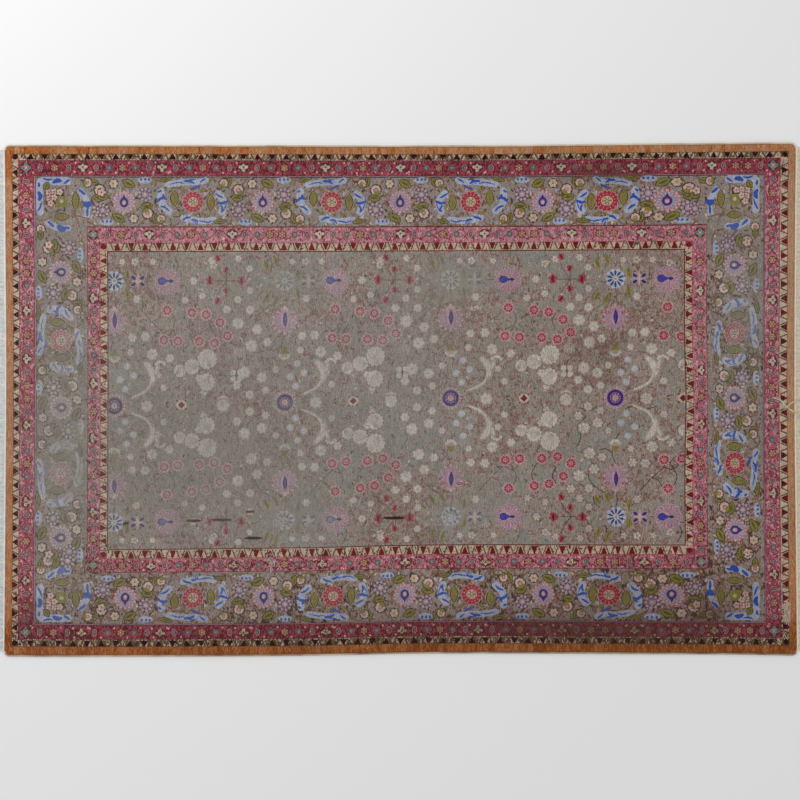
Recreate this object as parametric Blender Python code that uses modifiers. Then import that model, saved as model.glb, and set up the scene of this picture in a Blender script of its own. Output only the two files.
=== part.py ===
"""An oriental rug lying flat: pile body, wrapped selvedges and a fringe at each short end.

Metres, +Z up. The long side runs along X, the underside is at Z = 0, and the origin is
under the middle of the rug. "Near" is the -Y long side and "far" the +Y one.
"""

import math
from collections import namedtuple

import bmesh
import bpy
import numpy as np

# Driving sizes
HALF_LENGTH = 0.945
HALF_WIDTH = 0.606
THICKNESS = 0.006
CORNER_RADIUS = 0.012
PILE_ROUNDING = 0.0014
PILE_ROUNDING_STEPS = 2
RIM_ANGLE_DEG = 50
GAP = 0.0003
SELVEDGE_DIAMETER = 0.005
SELVEDGE_WRAP_DEG = 50
STRIP_WIDTH = 0.005
STRIP_THICKNESS = 0.003
STRIP_END_SETBACK = 0.006
FRINGE_REACH = 0.060
FRINGE_UNEVEN = 0.009
LOCKS_PER_END = 110

# Points that follow the uneven edges
CORNER_STEPS = 5
WRAPPED_CORNER_STEPS = 4
LONG_SIDE_POINTS = 38
SHORT_SIDE_POINTS = 24

# How far each edge stands out from its straight line, at a place along it.
EdgePoint = namedtuple("EdgePoint", "along out")

FAR_EDGE = [
    EdgePoint(-0.945, -0.0015),
    EdgePoint(-0.480, -0.0016),
    EdgePoint(-0.050, -0.0025),
    EdgePoint(0.240, -0.0018),
    EdgePoint(0.380, -0.0006),
    EdgePoint(0.530, 0.0013),
    EdgePoint(0.670, 0.0025),
    EdgePoint(0.810, 0.0037),
    EdgePoint(0.910, 0.0047),
    EdgePoint(0.945, 0.0047),
]
NEAR_EDGE = [
    EdgePoint(-0.945, 0.0044),
    EdgePoint(-0.910, 0.0047),
    EdgePoint(-0.480, 0.0045),
    EdgePoint(-0.190, 0.0024),
    EdgePoint(0.000, -0.0017),
    EdgePoint(0.240, -0.0027),
    EdgePoint(0.530, -0.0010),
    EdgePoint(0.810, 0.0004),
    EdgePoint(0.945, 0.0028),
]
LEFT_EDGE = [
    EdgePoint(-0.606, 0.0028),
    EdgePoint(-0.300, 0.0004),
    EdgePoint(0.100, -0.0018),
    EdgePoint(0.400, 0.0002),
    EdgePoint(0.606, 0.0018),
]
RIGHT_EDGE = [
    EdgePoint(-0.606, 0.0034),
    EdgePoint(-0.350, 0.0006),
    EdgePoint(0.000, -0.0030),
    EdgePoint(0.350, -0.0018),
    EdgePoint(0.606, 0.0004),
]

# One lock of fringe, root to tip: the share of its reach, its width and its height.
LockSection = namedtuple("LockSection", "share width height")

LOCK_SECTIONS = [
    LockSection(0.00, 0.0078, 0.0030),
    LockSection(0.48, 0.0062, 0.0027),
    LockSection(1.00, 0.0028, 0.0015),
]
LOCK_CREST = 0.55  # the width of a lock's top beside that of its foot

# How far a lock's tip lies to one side, as two waves along the row of locks: neighbours lean
# alike, and each a little its own way.
LeanWave = namedtuple("LeanWave", "amount step phase_left phase_right")

LEAN_WAVES = [
    LeanWave(0.0050, 0.31, 3.9, 1.1),
    LeanWave(0.0022, 1.27, 7.8, 2.2),
]

CREAM = (0.62, 0.52, 0.40, 1.0)
PALE_YARN = (0.60, 0.58, 0.53, 1.0)
PILE_GREY = (0.26, 0.23, 0.22, 1.0)


def stands_out(edge, along):
    """How far an edge stands out at a place, on a smooth line through its points."""
    places = [point.along for point in edge]
    outs = [point.out for point in edge]
    slopes = np.gradient(outs, places)
    at = min(max(along, places[0]), places[-1])
    i = min(int(np.searchsorted(places, at, side="right")) - 1, len(places) - 2)
    span = places[i + 1] - places[i]
    t = (at - places[i]) / span
    rise = t * t * (3 - 2 * t)
    return (
        outs[i] * (1 - rise)
        + outs[i + 1] * rise
        + slopes[i] * span * t * (1 - t) ** 2
        - slopes[i + 1] * span * t * t * (1 - t)
    )


def as_woven(u, v):
    """The real place of a point of the true rectangle, with the rug's uneven edges."""
    right_share = (u / HALF_LENGTH + 1) / 2
    far_share = (v / HALF_WIDTH + 1) / 2
    x = u + right_share * stands_out(RIGHT_EDGE, v) - (1 - right_share) * stands_out(LEFT_EDGE, v)
    y = v + far_share * stands_out(FAR_EDGE, u) - (1 - far_share) * stands_out(NEAR_EDGE, u)
    return x, y


def corner_arc(side_x, side_y, radius, start_deg, end_deg, steps):
    """Points round one corner of the true rectangle, angles from +X towards +Y."""
    centre_x = side_x * (HALF_LENGTH - CORNER_RADIUS)
    centre_y = side_y * (HALF_WIDTH - CORNER_RADIUS)
    points = []
    for i in range(steps + 1):
        angle = math.radians(start_deg + (end_deg - start_deg) * i / steps)
        points.append((centre_x + radius * math.cos(angle), centre_y + radius * math.sin(angle)))
    return points


def between(start, end, count):
    """Points that part a straight side evenly, without its ends."""
    shares = [i / (count + 1) for i in range(1, count + 1)]
    return [tuple(a + (b - a) * s for a, b in zip(start, end)) for s in shares]


def plain_material(name, colour, roughness):
    material = bpy.data.materials.new(name)
    material.use_nodes = True
    shader = material.node_tree.nodes["Principled BSDF"]
    shader.inputs["Base Color"].default_value = colour
    shader.inputs["Roughness"].default_value = roughness
    shader.inputs["Metallic"].default_value = 0.0
    return material


def poly_curve(name, points, height, cyclic, dimensions):
    """A curve object through points of the true rectangle, put where they really lie."""
    curve = bpy.data.curves.new(name, "CURVE")
    curve.dimensions = dimensions
    spline = curve.splines.new("POLY")
    spline.points.add(len(points) - 1)
    for spline_point, (u, v) in zip(spline.points, points):
        x, y = as_woven(u, v)
        spline_point.co = (x, y, 0.0, 1.0)
    spline.use_cyclic_u = cyclic
    obj = bpy.data.objects.new(name, curve)
    obj.location.z = height
    return obj


def to_mesh(curve_object, collection, material):
    """The curve's solid as one welded mesh object, in the curve's place."""
    bpy.context.scene.collection.objects.link(curve_object)
    bpy.context.view_layer.update()
    depsgraph = bpy.context.evaluated_depsgraph_get()
    mesh = bpy.data.meshes.new_from_object(curve_object.evaluated_get(depsgraph))
    weld = bmesh.new()
    weld.from_mesh(mesh)
    bmesh.ops.remove_doubles(weld, verts=weld.verts, dist=0.00001)
    bmesh.ops.recalc_face_normals(weld, faces=weld.faces)
    weld.to_mesh(mesh)
    weld.free()
    name = curve_object.name
    place = curve_object.matrix_world.copy()
    bpy.data.objects.remove(curve_object)
    obj = bpy.data.objects.new(name, mesh)
    obj.matrix_world = place
    mesh.materials.clear()
    mesh.materials.append(material)
    collection.objects.link(obj)
    return obj


def rug_body(collection):
    """The woven slab, with its uneven outline, rounded corners and softened pile edge."""
    x_end, y_end = HALF_LENGTH, HALF_WIDTH
    x_turn = HALF_LENGTH - CORNER_RADIUS
    y_turn = HALF_WIDTH - CORNER_RADIUS
    outline = []
    outline += corner_arc(-1, -1, CORNER_RADIUS, 180, 270, CORNER_STEPS)
    outline += between((-x_turn, -y_end), (x_turn, -y_end), LONG_SIDE_POINTS)
    outline += corner_arc(1, -1, CORNER_RADIUS, 270, 360, CORNER_STEPS)
    outline += between((x_end, -y_turn), (x_end, y_turn), SHORT_SIDE_POINTS)
    outline += corner_arc(1, 1, CORNER_RADIUS, 0, 90, CORNER_STEPS)
    outline += between((x_turn, y_end), (-x_turn, y_end), LONG_SIDE_POINTS)
    outline += corner_arc(-1, 1, CORNER_RADIUS, 90, 180, CORNER_STEPS)
    outline += between((-x_end, y_turn), (-x_end, -y_turn), SHORT_SIDE_POINTS)
    curve_object = poly_curve("rug_body", outline, THICKNESS / 2, True, "2D")
    curve_object.data.fill_mode = "BOTH"
    curve_object.data.extrude = THICKNESS / 2
    body = to_mesh(curve_object, collection, plain_material("silk_pile", PILE_GREY, 0.7))
    bevel = body.modifiers.new("pile_edge", "BEVEL")
    bevel.width = PILE_ROUNDING
    bevel.segments = PILE_ROUNDING_STEPS
    bevel.limit_method = "ANGLE"
    bevel.angle_limit = math.radians(RIM_ANGLE_DEG)
    return body


def selvedge(name, side, collection):
    """The wrapped edge of one long side, a soft cord that follows it round both corners."""
    radius = SELVEDGE_DIAMETER / 2
    out = CORNER_RADIUS + GAP + radius
    v = side * (HALF_WIDTH - CORNER_RADIUS + out)
    straight_end = HALF_LENGTH - CORNER_RADIUS
    first_deg = side * (90 + SELVEDGE_WRAP_DEG)
    last_deg = side * (90 - SELVEDGE_WRAP_DEG)
    path = corner_arc(-1, side, out, first_deg, side * 90, WRAPPED_CORNER_STEPS)
    path += between((-straight_end, v), (straight_end, v), LONG_SIDE_POINTS)
    path += corner_arc(1, side, out, side * 90, last_deg, WRAPPED_CORNER_STEPS)
    curve_object = poly_curve(name, path, radius, False, "3D")
    curve_object.data.bevel_depth = radius
    curve_object.data.bevel_resolution = 2
    curve_object.data.use_fill_caps = True
    return to_mesh(curve_object, collection, plain_material(name + "_yarn", CREAM, 0.8))


def lock_lean(index, end_side):
    """How far a lock's tip lies to one side of its root."""
    lean = 0.0
    for wave in LEAN_WAVES:
        phase = wave.phase_right if end_side > 0 else wave.phase_left
        lean += wave.amount * math.sin(wave.step * index + phase)
    return lean


def strip_rows(half_strip):
    """Where the strip's cells meet along Y: gaps and lock roots take turns."""
    pitch = 2 * half_strip / LOCKS_PER_END
    half_gap = (pitch - LOCK_SECTIONS[0].width) / 2
    rows = [-half_strip]
    for i in range(LOCKS_PER_END):
        start = -half_strip + i * pitch
        rows += [start + half_gap, start + pitch - half_gap]
    return rows + [half_strip]


def fringe(name, end_side, collection, seed):
    """A plain-woven strip beside one short edge, with flat-lying locks rooted in it."""
    rows = strip_rows(HALF_WIDTH - STRIP_END_SETBACK)
    cells = len(rows) - 1
    bpy.ops.mesh.primitive_grid_add(x_subdivisions=1, y_subdivisions=cells, size=2)
    obj = bpy.context.object
    obj.name = name
    mesh = obj.data
    for owner in list(obj.users_collection):
        owner.objects.unlink(obj)
    collection.objects.link(obj)

    bm = bmesh.new()
    bm.from_mesh(mesh)
    inner_u = end_side * (HALF_LENGTH + GAP)
    outer_u = end_side * (HALF_LENGTH + GAP + STRIP_WIDTH)
    for vert in bm.verts:
        row = round((vert.co.y + 1) / 2 * cells)
        u = inner_u if vert.co.x * end_side < 0 else outer_u
        x, y = as_woven(u, rows[row])
        vert.co = (x, y, 0.0)
    raised = bmesh.ops.extrude_face_region(bm, geom=bm.faces[:])
    for item in raised["geom"]:
        if isinstance(item, bmesh.types.BMVert):
            item.co.z = STRIP_THICKNESS
    bmesh.ops.recalc_face_normals(bm, faces=bm.faces)

    outer_faces = [face for face in bm.faces if face.normal.x * end_side > 0.5]
    outer_faces.sort(key=lambda face: face.calc_center_median().y)
    lock_faces = outer_faces[1::2]
    roots = [face.calc_center_median() for face in lock_faces]
    shortness = np.random.default_rng(seed).uniform(0, FRINGE_UNEVEN, len(lock_faces))
    shortness -= shortness.min()
    for section in LOCK_SECTIONS[1:]:
        grown = bmesh.ops.extrude_discrete_faces(bm, faces=lock_faces)
        lock_faces = sorted(grown["faces"], key=lambda face: face.calc_center_median().y)
        for i, (face, root) in enumerate(zip(lock_faces, roots)):
            tip_x = end_side * (HALF_LENGTH + FRINGE_REACH - shortness[i])
            x = root.x + (tip_x - root.x) * section.share
            y = root.y + lock_lean(i, end_side) * section.share**2
            middle = face.calc_center_median()
            for vert in face.verts:
                on_top = vert.co.z > middle.z
                half = section.width / 2 * (LOCK_CREST if on_top else 1)
                y_side = 1 if vert.co.y > middle.y else -1
                vert.co = (x, y + y_side * half, section.height if on_top else 0.0)
    bm.to_mesh(mesh)
    bm.free()
    mesh.materials.append(plain_material(name + "_yarn", PALE_YARN, 0.8))
    return obj


for old in list(bpy.data.objects):
    bpy.data.objects.remove(old)

rug = bpy.data.collections.new("oriental_rug")
bpy.context.scene.collection.children.link(rug)
rug_body(rug)
selvedge("selvedge_far", 1, rug)
selvedge("selvedge_near", -1, rug)
fringe("fringe_left", -1, rug, 11)
fringe("fringe_right", 1, rug, 23)
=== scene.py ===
"""The looks of a silk pile rug that lies flat: pile, back, selvedges and fringes, in metres."""

import math
from collections import namedtuple

import bpy
import numpy as np
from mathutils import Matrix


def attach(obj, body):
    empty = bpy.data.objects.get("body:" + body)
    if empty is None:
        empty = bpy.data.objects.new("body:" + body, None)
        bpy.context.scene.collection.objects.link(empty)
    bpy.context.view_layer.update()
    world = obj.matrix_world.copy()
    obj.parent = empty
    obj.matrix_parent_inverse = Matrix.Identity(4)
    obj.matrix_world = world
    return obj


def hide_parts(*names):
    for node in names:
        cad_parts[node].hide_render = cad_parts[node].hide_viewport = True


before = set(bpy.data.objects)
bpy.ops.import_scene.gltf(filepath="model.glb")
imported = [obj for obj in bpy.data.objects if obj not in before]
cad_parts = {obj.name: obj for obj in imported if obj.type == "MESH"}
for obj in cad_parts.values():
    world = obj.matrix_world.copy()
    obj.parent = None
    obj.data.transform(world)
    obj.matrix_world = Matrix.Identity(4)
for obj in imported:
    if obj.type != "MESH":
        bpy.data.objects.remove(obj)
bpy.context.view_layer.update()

# The knotted pile
# One layer of short silk pile, knotted row by row on silk warps from a chart of dyed yarns.
# The chart comes first: every knot has its dye, and each motif is drawn in real millimetres
# from the middle of the rug, u along it and v across it.
HALF_LENGTH_MM = 945.0
HALF_WIDTH_MM = 606.0
KNOTS_PER_CELL = 4
CELLS_LONG = 378
CELLS_WIDE = 240
KNOTS_LONG = CELLS_LONG * KNOTS_PER_CELL
KNOTS_WIDE = CELLS_WIDE * KNOTS_PER_CELL
KNOT_U = 2 * HALF_LENGTH_MM / KNOTS_LONG
KNOT_V = 2 * HALF_WIDTH_MM / KNOTS_WIDE

DYES = {
    "field grey": "93867B",
    "field teal": "84867F",
    "field brown": "735A4E",
    "field fawn": "9F9187",
    "field bone": "B8B0A6",
    "border grey": "8B7E77",
    "sky blue": "A3A8B6",
    "cobalt": "2C4CA2",
    "navy": "2C3164",
    "orange": "AE6B3A",
    "cream": "BEA592",
    "black brown": "2C0B0C",
    "maroon": "6C181C",
    "zigzag green": "5A4E30",
    "crimson": "964352",
    "pink": "AC6D76",
    "dark crimson": "62222A",
    "guard white": "BAAE9C",
    "guard grey": "6F7A78",
    "beige": "AD8466",
    "rust": "8E4A20",
    "olive": "7F7938",
    "field mauve": "8F746C",
    "scroll brown": "82604B",
    "violet blue": "403A92",
    "blossom": "C3A498",
    "lilac": "998495",
    "purple": "46276A",
    "petal pink": "B98A90",
    "red": "A02C34",
    "rose red": "9E434A",
    "outline": "4A3831",
}
DYE_NUMBER = {name: number for number, name in enumerate(DYES)}

chart = np.full((KNOTS_WIDE, KNOTS_LONG), DYE_NUMBER["orange"], np.uint8)
knot_u = (np.arange(KNOTS_LONG) + 0.5) * KNOT_U - HALF_LENGTH_MM
knot_v = (np.arange(KNOTS_WIDE) + 0.5) * KNOT_V - HALF_WIDTH_MM

# A motif's own axes on the rug: its middle, then which way its a and its b run.
Place = namedtuple("Place", "u v a_u a_v b_u b_v")


class Patch:
    """The knots round a spot of a motif, with their places a and b from that spot, in mm."""

    def __init__(self, place, a, b, reach, turn_deg=0.0):
        u = place.u + a * place.a_u + b * place.b_u
        v = place.v + a * place.a_v + b * place.b_v
        columns = np.searchsorted(knot_u, [u - reach, u + reach])
        rows = np.searchsorted(knot_v, [v - reach, v + reach])
        self.knots = chart[rows[0]:rows[1], columns[0]:columns[1]]
        across = knot_u[columns[0]:columns[1]][None, :] - u
        along = knot_v[rows[0]:rows[1]][:, None] - v
        a0 = across * place.a_u + along * place.a_v
        b0 = across * place.b_u + along * place.b_v
        turn = math.radians(turn_deg)
        self.a = a0 * math.cos(turn) + b0 * math.sin(turn)
        self.b = b0 * math.cos(turn) - a0 * math.sin(turn)
        self.radius = np.hypot(self.a, self.b)
        self.angle = np.arctan2(self.b, self.a)

    def dye(self, where, name):
        self.knots[where] = DYE_NUMBER[name]

    def oval(self, half_a, half_b, name, a=0.0, b=0.0):
        self.dye(((self.a - a) / half_a) ** 2 + ((self.b - b) / half_b) ** 2 < 1, name)

    def box(self, half_a, half_b, name):
        self.dye((abs(self.a) < half_a) & (abs(self.b) < half_b), name)

    def leaf(self, half_a, half_b, name):
        """Pointed at both ends along a."""
        bulge = 1 - (self.a / half_a) ** 2
        self.dye((bulge > 0) & (abs(self.b) < half_b * bulge), name)

    def petals(self, count, inner, outer, share, name, start_deg=0.0):
        """Round-ended petals between two radii, each filling a share of its turn."""
        turns = (self.angle - math.radians(start_deg)) * count / (2 * math.pi)
        off = 2 * abs(turns - np.round(turns)) / share
        tip = outer - 0.45 * (outer - inner) * off**2
        self.dye((off < 1) & (self.radius > inner) & (self.radius < tip), name)

    def beads(self, count, ring, size, name, start_deg=0.0):
        """Small round spots evenly round a ring."""
        for i in range(count):
            angle = math.radians(start_deg + 360 * i / count)
            self.oval(size, size, name, ring * math.cos(angle), ring * math.sin(angle))


def stroke(place, points, width, name, tapers=True):
    """A curved line of knots on a smooth way through its points, thinner at its ends."""
    points = np.array(points, float)
    last = len(points) - 1
    steps = max(int(np.hypot(*np.diff(points, axis=0).T).sum() / 1.1), 3)
    for k in range(steps):
        at = last * (k + 0.5) / steps
        i = min(int(at), last - 1)
        f = at - i
        p0, p1, p2, p3 = (points[min(max(j, 0), last)] for j in (i - 1, i, i + 1, i + 2))
        bend = (2 * p0 - 5 * p1 + 4 * p2 - p3) * f**2 + (3 * p1 - p0 - 3 * p2 + p3) * f**3
        a, b = 0.5 * (2 * p1 + (p2 - p0) * f + bend)
        half = width / 2 * (math.sin(math.pi * (k + 0.5) / steps) ** 0.5 if tapers else 1)
        half = max(half, 0.7)
        patch = Patch(place, a, b, half + 1.3)
        patch.oval(half, half, name)


# The bands, by how far each one's inner end lies from the rug's four edges.
Band = namedtuple("Band", "left right far near")

PLAIN_EDGE = Band(16.5, 16.0, 16.5, 19.0)
OUTER_TRIANGLES = Band(31.5, 34.5, 31.5, 36.0)
OUTER_GUARD = Band(72.5, 75.5, 72.5, 75.0)
MAIN_BORDER = Band(194.5, 213.5, 190.0, 199.5)
INNER_GUARD = Band(225.5, 249.5, 228.0, 233.5)
INNER_TRIANGLES = Band(243.0, 268.0, 247.5, 255.0)
BORDER_LINES = 4.5  # the lines that end the outer guard on its inner side
OUTER_GUARD_PLAIN = Band(*(inset - BORDER_LINES for inset in OUTER_GUARD))
LINE = 1.3
REST = 0.0

Line = namedtuple("Line", "dye width")


def knots_inside(band, depth=0.0):
    """The rows and the columns of knots that lie past a band's inner end, and deeper in by depth."""
    columns = np.searchsorted(
        knot_u, [band.left + depth - HALF_LENGTH_MM, HALF_LENGTH_MM - band.right - depth]
    )
    rows = np.searchsorted(
        knot_v, [band.near + depth - HALF_WIDTH_MM, HALF_WIDTH_MM - band.far - depth]
    )
    return slice(*rows), slice(*columns)


def lay_band(outer, lines):
    """Fills all that lies inside a band's end, line after line inwards."""
    depth = 0.0
    for line in lines:
        chart[knots_inside(outer, depth)] = DYE_NUMBER[line.dye]
        depth += line.width


lay_band(PLAIN_EDGE, [Line("zigzag green", LINE), Line("cream", REST)])
lay_band(OUTER_TRIANGLES, [Line("outline", LINE), Line("crimson", REST)])
lay_band(
    OUTER_GUARD_PLAIN,
    [Line("dark crimson", LINE), Line("lilac", 2.0), Line("outline", LINE), Line("border grey", REST)],
)
lay_band(MAIN_BORDER, [Line("dark crimson", LINE), Line("pink", REST)])
lay_band(INNER_GUARD, [Line("rose red", LINE), Line("cream", REST)])
lay_band(INNER_TRIANGLES, [Line("outline", LINE), Line("maroon", LINE), Line("field grey", REST)])

# The plain grounds are broken up into small upright dashes by worn knots and uneven dye lots.
Share = namedtuple("Share", "dye upto")


def dashes(width, height, seed):
    """A random number from 0 to 1 for every knot, the same within each upright dash of knots."""
    draw = np.random.default_rng(seed)
    column = np.arange(KNOTS_LONG) // width
    start = draw.integers(0, height, column[-1] + 1)
    row = (np.arange(KNOTS_WIDE)[:, None] + start[column][None, :]) // height
    values = draw.random((row.max() + 1, column[-1] + 1))
    return values[row, column[None, :]]


def smudges(size, seed):
    """Soft spots about so many knots across, each from -0.5 to 0.5."""
    draw = np.random.default_rng(seed).random((KNOTS_WIDE // size + 2, KNOTS_LONG // size + 2)) - 0.5
    row = np.arange(KNOTS_WIDE) // size
    column = np.arange(KNOTS_LONG) // size
    down = (np.arange(KNOTS_WIDE) / size - row)[:, None]
    across = (np.arange(KNOTS_LONG) / size - column)[None, :]
    upper = draw[row][:, column] * (1 - across) + draw[row][:, column + 1] * across
    lower = draw[row + 1][:, column] * (1 - across) + draw[row + 1][:, column + 1] * across
    return upper * (1 - down) + lower * down


def break_up(ground, shares, values):
    """Gives a ground's knots other dyes, each one up to its share of the random numbers."""
    found = chart == DYE_NUMBER[ground]
    numbers = np.array([DYE_NUMBER[share.dye] for share in shares])
    which = np.searchsorted([share.upto for share in shares], values[found])
    chart[found] = numbers[np.minimum(which, len(numbers) - 1)]


# How far each knot lies towards the rug's right end and towards its near side, from -1 to 1. The
# patches are broad and irregular, and the other values grow at the long sides or the short ends.
rightward = (knot_u / HALF_LENGTH_MM)[None, :] + 0 * knot_v[:, None]
nearward = (-knot_v / HALF_WIDTH_MM)[:, None] + 0 * knot_u[None, :]
waves_u = (knot_u / 71.0)[None, :]
waves_v = (knot_v / 58.0)[:, None]
patches = np.sin(waves_u + 1.6 * np.sin(waves_v)) + np.sin(0.6 * waves_v - 1.3 * np.cos(0.7 * waves_u))

sideward = 0.3 * nearward**4
at_ends = np.clip((abs(rightward) - 0.90) / 0.02, 0, 1) * np.clip((0.90 - abs(nearward)) / 0.05, 0, 1)
flecks = 0.16 + 0.68 * dashes(2, 4, 1) + 0.4 * (dashes(5, 4, 9) - 0.5) + 1.05 * smudges(6, 41)

break_up(
    "field grey",
    [
        Share("field teal", 0.16),
        Share("field grey", 0.46),
        Share("field fawn", 0.58),
        Share("field mauve", 0.80),
        Share("field brown", 0.96),
        Share("zigzag green", 0.99),
        Share("field mauve", 1.3),
    ],
    flecks + 0.13 * patches + 0.03 * rightward - 0.06,
)
break_up(
    "border grey",
    [
        Share("field teal", 0.05),
        Share("border grey", 0.44),
        Share("field fawn", 0.57),
        Share("lilac", 0.60),
        Share("field mauve", 0.78),
        Share("scroll brown", 0.85),
        Share("field brown", 0.96),
        Share("outline", 1.0),
    ],
    flecks + 0.13 * patches + 0.09 * rightward + 0.09 * nearward,
)
guard_flecks = dashes(2, 4, 3) + 0.5 * (dashes(6, 5, 10) - 0.5)
break_up(
    "crimson",
    [Share("pink", 0.05), Share("crimson", 0.70), Share("rose red", 0.86), Share("dark crimson", 1.2)],
    guard_flecks + 0.05 * patches + 1.2 * sideward - 0.42 * at_ends
    - 0.06 * at_ends * rightward + 0.08 * nearward,
)
break_up(
    "pink",
    [Share("petal pink", 0.15), Share("pink", 0.74), Share("crimson", 1.04), Share("dark crimson", 1.2)],
    guard_flecks + 0.06 * patches - 0.04 * rightward + 0.14 * nearward,
)
batches = np.repeat(np.random.default_rng(6).normal(0, 0.22, KNOTS_LONG // 9 + 1), 9)[:KNOTS_LONG]
break_up(
    "orange",
    [Share("beige", 0.02), Share("orange", 0.74), Share("rust", 1.0)],
    dashes(1, 6, 7) + batches[None, :] + 0.30 * nearward + 0.15 * rightward * nearward - 0.72 * at_ends,
)

# One side of a band: a runs along it towards +u or +v and b points outward.
Side = namedtuple("Side", "name place height low high")


def band_sides(outer, inner):
    left = (outer.left + inner.left) / 2 - HALF_LENGTH_MM
    right = HALF_LENGTH_MM - (outer.right + inner.right) / 2
    far = HALF_WIDTH_MM - (outer.far + inner.far) / 2
    near = (outer.near + inner.near) / 2 - HALF_WIDTH_MM
    return [
        Side("far", Place(0, far, 1, 0, 0, 1), inner.far - outer.far, left, right),
        Side("near", Place(0, near, 1, 0, 0, -1), inner.near - outer.near, left, right),
        Side("left", Place(left, 0, 0, 1, -1, 0), inner.left - outer.left, near, far),
        Side("right", Place(right, 0, 0, 1, 1, 0), inner.right - outer.right, near, far),
    ]


# Dark triangles point out and in by turns on cream, with a thin green line along both sides of
# each. Along the rug another dye fills the little triangles between the lines and the dark ones.
TRIANGLE_PITCH = 33.8


def lay_triangles(outer, inner, dark, between, corner, first, line, half_wide):
    """Lays a band, its first triangle so far from the corner, with its lines' and its half width."""
    for side in band_sides(outer, inner):
        half = side.height / 2
        run = side.high - side.low - 2 * first
        long_side = side.name in ("far", "near")
        green = line if long_side else line * 0.75
        count = 2 * round(run / TRIANGLE_PITCH / 2)
        for k in range(count + 1):
            patch = Patch(side.place, side.low + first + k * run / count, 0.0, 18)
            rise = (patch.b + half) / side.height
            inside = abs(patch.b) < half - 0.8
            a = abs(patch.a)
            if k % 2:
                if long_side:
                    patch.dye(inside & (a > 6.0 + green) & (a < 19.0 - 14.0 * rise), between)
                patch.dye(inside & (abs(a - 4.2 - 8.0 * rise) < green), "zigzag green")
                width = np.clip((rise - 0.10) / 0.82, 0, 1) ** 0.7
                patch.dye((rise < 0.95) & (a < half_wide * width), dark)
            else:
                patch.dye(inside & (abs(a - 9.0 - 7.6 * rise) < green), "zigzag green")
                width = np.clip((0.97 - rise) / 0.85, 0, 1) ** 0.7
                patch.dye((rise > 0.08) & (a < half_wide * width), dark)
        for end in (side.low, side.high):
            patch = Patch(side.place, end, 0.0, half + 2)
            patch.box(half, half, corner)
            inwards = 1 if end == side.low else -1
            patch.dye((abs(patch.a * inwards - half + 2) < 2) & (abs(patch.b) < half - 1), "cream")
            patch.oval(6.6, 6.6, dark)


lay_triangles(
    PLAIN_EDGE, OUTER_TRIANGLES, dark="black brown", between="scroll brown", corner="zigzag green",
    first=37.0, line=2.3, half_wide=8.6,
)
break_up(
    "black brown",
    [Share("black brown", 0.62), Share("maroon", 2.0)],
    0.7 * dashes(2, 3, 35) + (0.30 + 0.15 * rightward) * at_ends,
)
lay_triangles(
    INNER_GUARD, INNER_TRIANGLES, dark="maroon", between="cream", corner="crimson",
    first=33.0, line=1.6, half_wide=7.4,
)
break_up(
    "cream",
    [Share("cream", 0.84), Share("beige", 0.95), Share("outline", 2.0)],
    dashes(2, 3, 31) + 0.8 * sideward + 0.25 * np.clip(nearward, 0, 1) ** 4 - 0.15 * at_ends,
)

# The guards: white three-petalled flowers at places along each side, with rings, discs and a
# beige flower between each two of them.
OUTER_GUARD_FLOWERS = {
    "far": [-759, -570, -375, -179, 1, 184, 385, 554, 742],
    "near": [-762, -574, -375, -178, 3, 185, 385, 558, 746],
    "left": [-430, -242, -59, 100, 215, 424],
    "right": [-418, -225, -35, 90, 236, 425],
}
INNER_GUARD_FLOWERS = {
    "far": [-601, -402, -193, 1, 202, 411, 578],
    "near": [-597, -399, -187, 11, 203, 408, 582],
    "left": [-260, -79, 50, 247],
    "right": [-245, -60, 68, 258],
}


def white_flower(place, at):
    patch = Patch(place, at, 0.0, 20)
    patch.oval(13.5, 11, "dark crimson", b=1.5)
    patch.oval(10.0, 6.5, "outline", b=4.5)
    patch.oval(5.8, 3.8, "guard white", -6.0, 2.0)
    patch.oval(5.8, 3.8, "guard white", 6.0, 2.0)
    patch.oval(4.4, 6.0, "guard white", 0, -4.0)
    patch.oval(3.0, 4.0, "guard white", 0, 5.6)
    patch.oval(2.2, 2.6, "zigzag green", 0, 1.6)
    for a in (-20, 20):
        Patch(place, at + a, -10.0, 5).oval(2.8, 2.6, "blossom")


def guard_ring(place, at):
    """A tall lilac ring round a dark seed."""
    patch = Patch(place, at, 0.0, 16)
    patch.oval(7.4, 9.8, "dark crimson")
    patch.oval(6.2, 8.6, "petal pink")
    patch.oval(4.4, 6.8, "dark crimson")
    patch.oval(2.7, 5.0, "guard grey")


def guard_disc(place, at):
    patch = Patch(place, at, 0.0, 16)
    patch.oval(8.0, 8.0, "pink")
    patch.oval(6.9, 6.9, "outline")
    patch.oval(5.3, 5.3, "guard grey")
    patch.oval(2.0, 2.0, "lilac")


def beige_flower(place, at):
    patch = Patch(place, at, 0.0, 16)
    patch.oval(10.5, 9.5, "dark crimson")
    patch.beads(6, 6.0, 2.7, "beige", 30)
    patch.oval(3.8, 3.8, "scroll brown")
    patch.oval(1.8, 1.8, "cream")


def grey_corner_flower(place, at):
    patch = Patch(place, at, 0.0, 18)
    patch.oval(13, 13, "dark crimson")
    patch.petals(4, 0, 12.5, 0.8, "guard grey")
    patch.petals(4, 0, 8, 0.5, "field fawn", 45)
    patch.oval(2.6, 2.6, "guard white")


GUARD_PITCH = 32.0


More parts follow.
